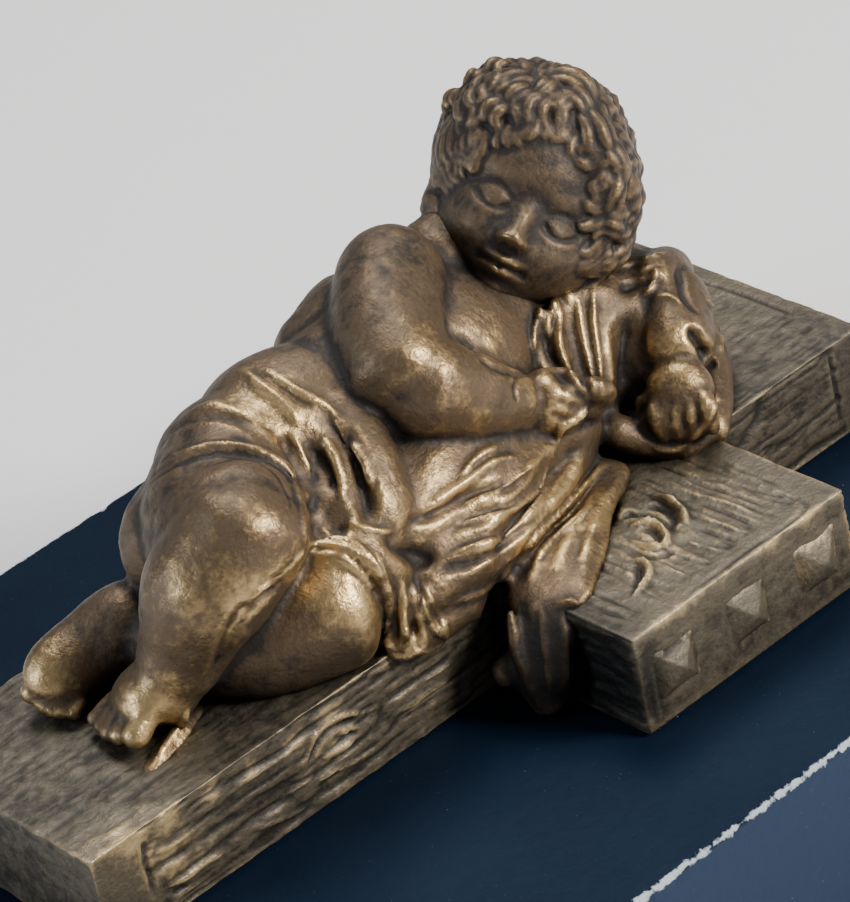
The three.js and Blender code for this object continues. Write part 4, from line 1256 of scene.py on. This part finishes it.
def paintWearAndShade(piece, tree, tone):
    mesh = piece.data
    points, normals, edges = readPoints(mesh), readNormals(mesh), readEdges(mesh)
    step = np.linalg.norm(points[edges[:, 0]] - points[edges[:, 1]], axis=1).mean()
    fromMiddle = np.abs(points[:, 1] - cross["beamWidth"] / 2)
    onStuds = fromMiddle > cross["beamWidth"] / 2 + cross["barReach"] + 0.12
    wear = np.full(len(points), 0.5)
    for rounds, gain in wearShadeAndTone["crests"]:
        soft = evened(points, edges, rounds)
        out = ((points - soft) * normals).sum(1) / step
        wear += gain * np.clip(evened(out, edges, 1) / (0.035 * rounds ** 0.5 + 0.03) * 0.16, -0.5, 0.5)
    wear[onStuds] = 0.5 + 0.25 * (wear[onStuds] - 0.5)
    # openness, which darkens the colour in the hollows: painted shade with grime
    free = openness(tree, points, normals, edges)
    gold = np.full(len(points), tone)
    for x, y, radius, strength in goldAndPaintedLightSpots:
        place = tree.ray_cast(Vector(eyeInFigure), Vector(photoRay(x, y)))[0]
        if place is not None:
            away = ((points - np.array(place)) ** 2).sum(1)
            spot = strength * np.exp(-away / (2 * radius * radius))
            gold += 0.7 * spot
            # a spot below 0 lowers the gold and the openness, which darkens the colour: painted shade
            free *= 1 + np.minimum(spot, 0)
    layer = mesh.color_attributes.new(name="surface", type="FLOAT_COLOR", domain="POINT")
    color = np.stack([np.clip(wear, 0, 1), np.clip(free, 0, 1), np.clip(gold, 0, 1), np.ones(len(points))], 1)
    layer.data.foreach_set("color", color.astype(np.float32).ravel())


def triangleCount(piece):
    return sum(len(face.vertices) - 2 for face in piece.data.polygons)


def lightened(piece, triangles):
    # fewer triangles on flat ground, most of them where it is carved
    count = triangleCount(piece)
    if count > triangles:
        modifier = piece.modifiers.new("lightened", "DECIMATE")
        modifier.ratio = triangles / count
        applied(piece)
    print(piece.name, triangleCount(piece), "triangles")


def withoutCrumbs(piece, fewest=100):
    # drops the tiny shells that a remesh can leave inside
    bm = bmesh.new()
    bm.from_mesh(piece.data)
    seen = set()
    crumbs = []
    for first in bm.verts:
        if first in seen:
            continue
        seen.add(first)
        island, queue = [first], [first]
        while queue:
            for edge in queue.pop().link_edges:
                for other in edge.verts:
                    if other not in seen:
                        seen.add(other)
                        island.append(other)
                        queue.append(other)
        if len(island) < fewest:
            crumbs += island
    if crumbs:
        bmesh.ops.delete(bm, geom=crumbs, context="VERTS")
        bm.to_mesh(piece.data)
        piece.data.update()
    bm.free()


bronzePieces = {"figure": figure, "head": headPiece, "cross": timber}
for piece in bronzePieces.values():
    withoutCrumbs(piece)
castingTree = treeOf(bronzePieces.values())
for name, piece in bronzePieces.items():
    paintWearAndShade(piece, castingTree, wearShadeAndTone[name])
    lightened(piece, wearShadeAndTone["triangles"])
    print("wear painted on the", name)


def toPart(piece):
    # from figure millimetres to the part's metres
    points = (readPoints(piece.data) + figureOrigin) * mm
    writePoints(piece.data, points)
    for face in piece.data.polygons:
        face.use_smooth = True
    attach(piece, "root")
    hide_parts("bronze_putto_on_cross")


for piece in bronzePieces.values():
    toPart(piece)

# The stone slab

slab = {
    "length": 157,
    "depth": 120.6,
    "height": 25,
    "arris": 0.7,
    "cell": 1.1,
    "wornBand": 3,
    "dentSize": 2.4,
    "dentDepth": 0.55,
}


def makeSlab():
    bm = bmesh.new()
    size = np.array([slab["length"], slab["depth"], slab["height"]]) * mm
    made = bmesh.ops.create_cube(bm, size=1)
    bmesh.ops.scale(bm, vec=tuple(size), verts=made["verts"])
    bmesh.ops.translate(bm, vec=(0, 0, size[2] / 2), verts=made["verts"])
    for axis in range(3):
        for k in range(1, int(size[axis] / mm / slab["cell"])):
            at = [0, 0, 0]
            at[axis] = k * slab["cell"] * mm - (0 if axis == 2 else size[axis] / 2)
            way = [0, 0, 0]
            way[axis] = 1
            grid = bm.verts[:] + bm.edges[:] + bm.faces[:]
            bmesh.ops.bisect_plane(bm, geom=grid, plane_co=at, plane_no=way)
    sharp = [edge for edge in bm.edges if len(edge.link_faces) == 2 and edge.calc_face_angle() > 1]
    arris = slab["arris"] * mm
    bmesh.ops.bevel(bm, geom=sharp, offset=arris, affect="EDGES", segments=2, profile=0.5, material=-1)
    stone = toObject(bm, "black_slab")
    mesh = stone.data
    points = readPoints(mesh) / mm
    inner = size / mm / 2
    gap = np.sort(inner - np.abs(points - [0, 0, inner[2]]), axis=1)
    near = np.clip(1 - gap[:, 1] / slab["wornBand"], 0, 1)  # 1 along the edges
    dents = np.clip(valueNoise(points, slab["dentSize"], 21) * 1.3 - 0.35, 0, 1) * near ** 3
    dents[points[:, 2] < 0.5] = 0
    points -= readNormals(mesh) * (slab["dentDepth"] * dents)[:, None]
    writePoints(mesh, points * mm)
    layer = mesh.color_attributes.new(name="surface", type="FLOAT_COLOR", domain="POINT")
    # the upright faces are marked for the paler side colour: a painted sheen
    sidesWithSheen = (np.abs(readNormals(mesh)[:, 2]) < 0.5) * 1.0
    color = np.stack([near, dents, sidesWithSheen, np.ones(len(points))], 1)
    layer.data.foreach_set("color", color.astype(np.float32).ravel())
    for face in mesh.polygons:
        face.use_smooth = False
    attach(stone, "root")
    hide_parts("stone_slab")
    return stone


stone = makeSlab()
print("slab:", len(stone.data.polygons), "faces")


# Materials

finish = {
    "bronze": {"dark": (0.02, 0.015, 0.012), "mid": (0.125, 0.086, 0.052), "gold": (0.5, 0.35, 0.17)},
    "timber": {"dark": (0.022, 0.019, 0.014), "mid": (0.1, 0.083, 0.057), "gold": (0.42, 0.31, 0.16)},
    "stone": {
        # side: the upright faces, paler and bluer than the top, a painted sheen
        "deep": (0.002, 0.006, 0.016), "pale": (0.006, 0.014, 0.03), "side": (0.021, 0.034, 0.066),
        "chip": (0.42, 0.47, 0.5),
    },
}


def newMaterial(name):
    material = bpy.data.materials.new(name)
    material.use_nodes = True
    return material, material.node_tree.nodes, material.node_tree.links


def addNode(nodes, kind, values=None, **settings):
    node = nodes.new(kind)
    for key, value in settings.items():
        setattr(node, key, value)
    for key, value in (values or {}).items():
        node.inputs[key].default_value = value
    return node


def fed(links, socket, source):
    # a plain value goes on the socket itself, anything else is linked
    if isinstance(source, (int, float, tuple)):
        socket.default_value = source
    else:
        links.new(source, socket)


def maths(nodes, links, operation, *sources):
    node = addNode(nodes, "ShaderNodeMath", operation=operation)
    for socket, source in zip(node.inputs, sources):
        fed(links, socket, source)
    return node.outputs[0]


def mixed(nodes, links, share, a, b, blend="MIX"):
    node = addNode(nodes, "ShaderNodeMix", data_type="RGBA", blend_type=blend)
    for socket, source in ((node.inputs[0], share), (node.inputs[6], a), (node.inputs[7], b)):
        fed(links, socket, source)
    return node.outputs[2]


def ranged(nodes, links, source, low, high, toLow=0.0, toHigh=1.0, way="LINEAR"):
    ends = {"From Min": low, "From Max": high, "To Min": toLow, "To Max": toHigh}
    node = addNode(nodes, "ShaderNodeMapRange", ends, interpolation_type=way)
    links.new(source, node.inputs["Value"])
    return node.outputs[0]


def noises(nodes, links, kinds):
    # noise in object coordinates, each with its scale, detail and roughness
    place = addNode(nodes, "ShaderNodeTexCoord").outputs["Object"]
    made = []
    for scale, detail, rough in kinds:
        node = addNode(nodes, "ShaderNodeTexNoise", {"Scale": scale, "Detail": detail, "Roughness": rough})
        links.new(place, node.inputs["Vector"])
        made.append(node.outputs[0])
    return made


def paintedOn(nodes, links):
    # the three values that the mesh carries
    layer = addNode(nodes, "ShaderNodeAttribute", attribute_name="surface")
    split = addNode(nodes, "ShaderNodeSeparateColor")
    links.new(layer.outputs["Color"], split.inputs[0])
    return split.outputs


def patinaGroup():
    # old bronze: dark in the hollows, brown over the rounds, gold where it is rubbed; the hollows are dark
    # from patina, and where little space is open also from painted shade with grime
    group = bpy.data.node_groups.new("oldPatina", "ShaderNodeTree")
    face = group.interface
    for name in ("Dark", "Mid", "Gold"):
        face.new_socket(name=name, in_out="INPUT", socket_type="NodeSocketColor")
    face.new_socket(name="Color", in_out="OUTPUT", socket_type="NodeSocketColor")
    for name in ("Roughness", "Metallic", "Height"):
        face.new_socket(name=name, in_out="OUTPUT", socket_type="NodeSocketFloat")
    face.new_socket(name="Mottle", in_out="INPUT", socket_type="NodeSocketFloat")
    nodes, links = group.nodes, group.links
    inside = addNode(nodes, "NodeGroupInput").outputs
    outside = addNode(nodes, "NodeGroupOutput").inputs
    worn, free, golden = paintedOn(nodes, links)
    broad, mottle, speck = noises(nodes, links, ((70, 4, 0.6), (330, 5, 0.65), (1500, 3, 0.6)))
    value = maths(nodes, links, "MULTIPLY_ADD", worn, 0.9, -0.45)
    value = maths(nodes, links, "ADD", value, golden)
    patches = maths(nodes, links, "MULTIPLY_ADD", broad, 0.5, -0.25)
    spots = maths(nodes, links, "MULTIPLY", maths(nodes, links, "SUBTRACT", mottle, 0.5), inside["Mottle"])
    grains = maths(nodes, links, "MULTIPLY_ADD", speck, 0.4, -0.2)
    for extra in (patches, spots, grains):
        value = maths(nodes, links, "ADD", value, extra)
    browning = ranged(nodes, links, value, 0.02, 0.5, way="SMOOTHSTEP")
    gilding = ranged(nodes, links, value, 0.5, 1.05, way="SMOOTHSTEP")
    brown = mixed(nodes, links, browning, inside["Dark"], inside["Mid"])
    rubbed = mixed(nodes, links, gilding, brown, inside["Gold"])
    # the colour is darkened where little space is open: painted shade, with grime
    shade = ranged(nodes, links, free, 0.12, 0.75, 0.12, 1.0)
    grey = addNode(nodes, "ShaderNodeCombineColor")
    for socket in grey.inputs:
        links.new(shade, socket)
    links.new(mixed(nodes, links, 1.0, rubbed, grey.outputs[0], "MULTIPLY"), outside["Color"])
    roughness = maths(nodes, links, "ADD", ranged(nodes, links, value, 0.1, 0.9, 0.62, 0.36), grains)
    links.new(maths(nodes, links, "MAXIMUM", roughness, 0.2), outside["Roughness"])
    links.new(ranged(nodes, links, value, 0.05, 0.7, 0.35, 0.85), outside["Metallic"])
    relief = maths(nodes, links, "ADD", maths(nodes, links, "MULTIPLY", mottle, 1.6), speck)
    links.new(relief, outside["Height"])
    return group


patina = patinaGroup()


def bronzeMaterial(name, colors, bumpDepth, mottle, metallic=None):
    # without a metallic value of its own, the patina gives it
    material, nodes, links = newMaterial(name)
    surface = nodes["Principled BSDF"]
    old = addNode(nodes, "ShaderNodeGroup", node_tree=patina)
    for key in ("dark", "mid", "gold"):
        old.inputs[key.capitalize()].default_value = (*colors[key], 1)
    old.inputs["Mottle"].default_value = mottle
    links.new(old.outputs["Color"], surface.inputs["Base Color"])
    links.new(old.outputs["Roughness"], surface.inputs["Roughness"])
    if metallic is None:
        links.new(old.outputs["Metallic"], surface.inputs["Metallic"])
    else:
        surface.inputs["Metallic"].default_value = metallic
    bump = addNode(nodes, "ShaderNodeBump", {"Strength": 0.55, "Distance": bumpDepth})
    links.new(old.outputs["Height"], bump.inputs["Height"])
    links.new(bump.outputs[0], surface.inputs["Normal"])
    return material


def stoneMaterial():
    material, nodes, links = newMaterial("blackStone")
    surface = nodes["Principled BSDF"].inputs
    deep, pale, side, chip = ((*finish["stone"][k], 1) for k in ("deep", "pale", "side", "chip"))
    near, dented, sidesWithSheen = paintedOn(nodes, links)
    cloud, crumb, grain = noises(nodes, links, ((45, 5, 0.6), (520, 6, 0.7), (1900, 3, 0.6)))
    chips = maths(nodes, links, "ADD", near, maths(nodes, links, "MULTIPLY", dented, 0.6))
    chips = maths(nodes, links, "ADD", chips, maths(nodes, links, "MULTIPLY", crumb, 0.95))
    broken = ranged(nodes, links, chips, 1.27, 1.36)
    dust = ranged(nodes, links, grain, 0.72, 0.8, 0.0, 0.35)
    marks = maths(nodes, links, "MAXIMUM", broken, dust)
    # the upright faces take the paler side colour: a painted sheen
    sides = mixed(nodes, links, sidesWithSheen, mixed(nodes, links, cloud, deep, pale), side)
    links.new(mixed(nodes, links, marks, sides, chip), surface["Base Color"])
    surface["Specular IOR Level"].default_value = 0.1
    surface["Specular Tint"].default_value = (0.4, 0.68, 1.0, 1)
    honed = ranged(nodes, links, crumb, 0.0, 1.0, 0.38, 0.6)
    dull = maths(nodes, links, "MULTIPLY", marks, 0.8)
    links.new(maths(nodes, links, "MAXIMUM", honed, dull), surface["Roughness"])
    bump = addNode(nodes, "ShaderNodeBump", {"Strength": 0.35, "Distance": 0.00025})
    relief = maths(nodes, links, "SUBTRACT", crumb, maths(nodes, links, "MULTIPLY", broken, 0.8))
    links.new(relief, bump.inputs["Height"])
    links.new(bump.outputs[0], surface["Normal"])
    return material


bronze = bronzeMaterial("oldBronze", finish["bronze"], 0.0002, 1.0)
figure.data.materials.append(bronze)
headPiece.data.materials.append(bronze)
timber.data.materials.append(bronzeMaterial("bronzeTimber", finish["timber"], 0.00025, 0.5, 0.3))
stone.data.materials.append(stoneMaterial())
print("materials ready")


# Floor and light

def makeFloor():
    bm = bmesh.new()
    bmesh.ops.create_grid(bm, x_segments=1, y_segments=1, size=3)
    bmesh.ops.translate(bm, vec=(0, 0, -0.0004), verts=bm.verts)
    floor = toObject(bm, "floor")
    material, nodes, _ = newMaterial("paleFloor")
    surface = nodes["Principled BSDF"].inputs
    surface["Base Color"].default_value = (0.82, 0.82, 0.83, 1)
    surface["Roughness"].default_value = 0.7
    floor.data.materials.append(material)


def addLight(name, place, size, power, color):
    light = bpy.data.lights.new(name, "AREA")
    light.energy = power
    light.size = size
    light.color = color
    lamp = bpy.data.objects.new(name, light)
    lamp.location = place
    lamp.rotation_euler = (Vector((0, 0, 0.04)) - Vector(place)).to_track_quat("-Z", "Y").to_euler()
    bpy.context.scene.collection.objects.link(lamp)


# each lamp's place in metres, size, power and colour
lamps = {
    "keyRight": ((0.4, -0.72, 0.58), 0.3, 14, (1.0, 0.95, 0.88)),
    "windowLeft": ((-0.8, 0.35, 0.4), 0.4, 5, (0.82, 0.9, 1.0)),
    "topSoft": ((0.35, 0.35, 1.0), 0.5, 10, (1, 0.98, 0.95)),
}

makeFloor()
for name, lamp in lamps.items():
    addLight(name, *lamp)
world = bpy.data.worlds.new("studio")
world.use_nodes = True
air = world.node_tree.nodes["Background"].inputs
air["Color"].default_value = (0.85, 0.88, 0.92, 1)
air["Strength"].default_value = 0.22
bpy.context.scene.world = world
print("floor and light ready")
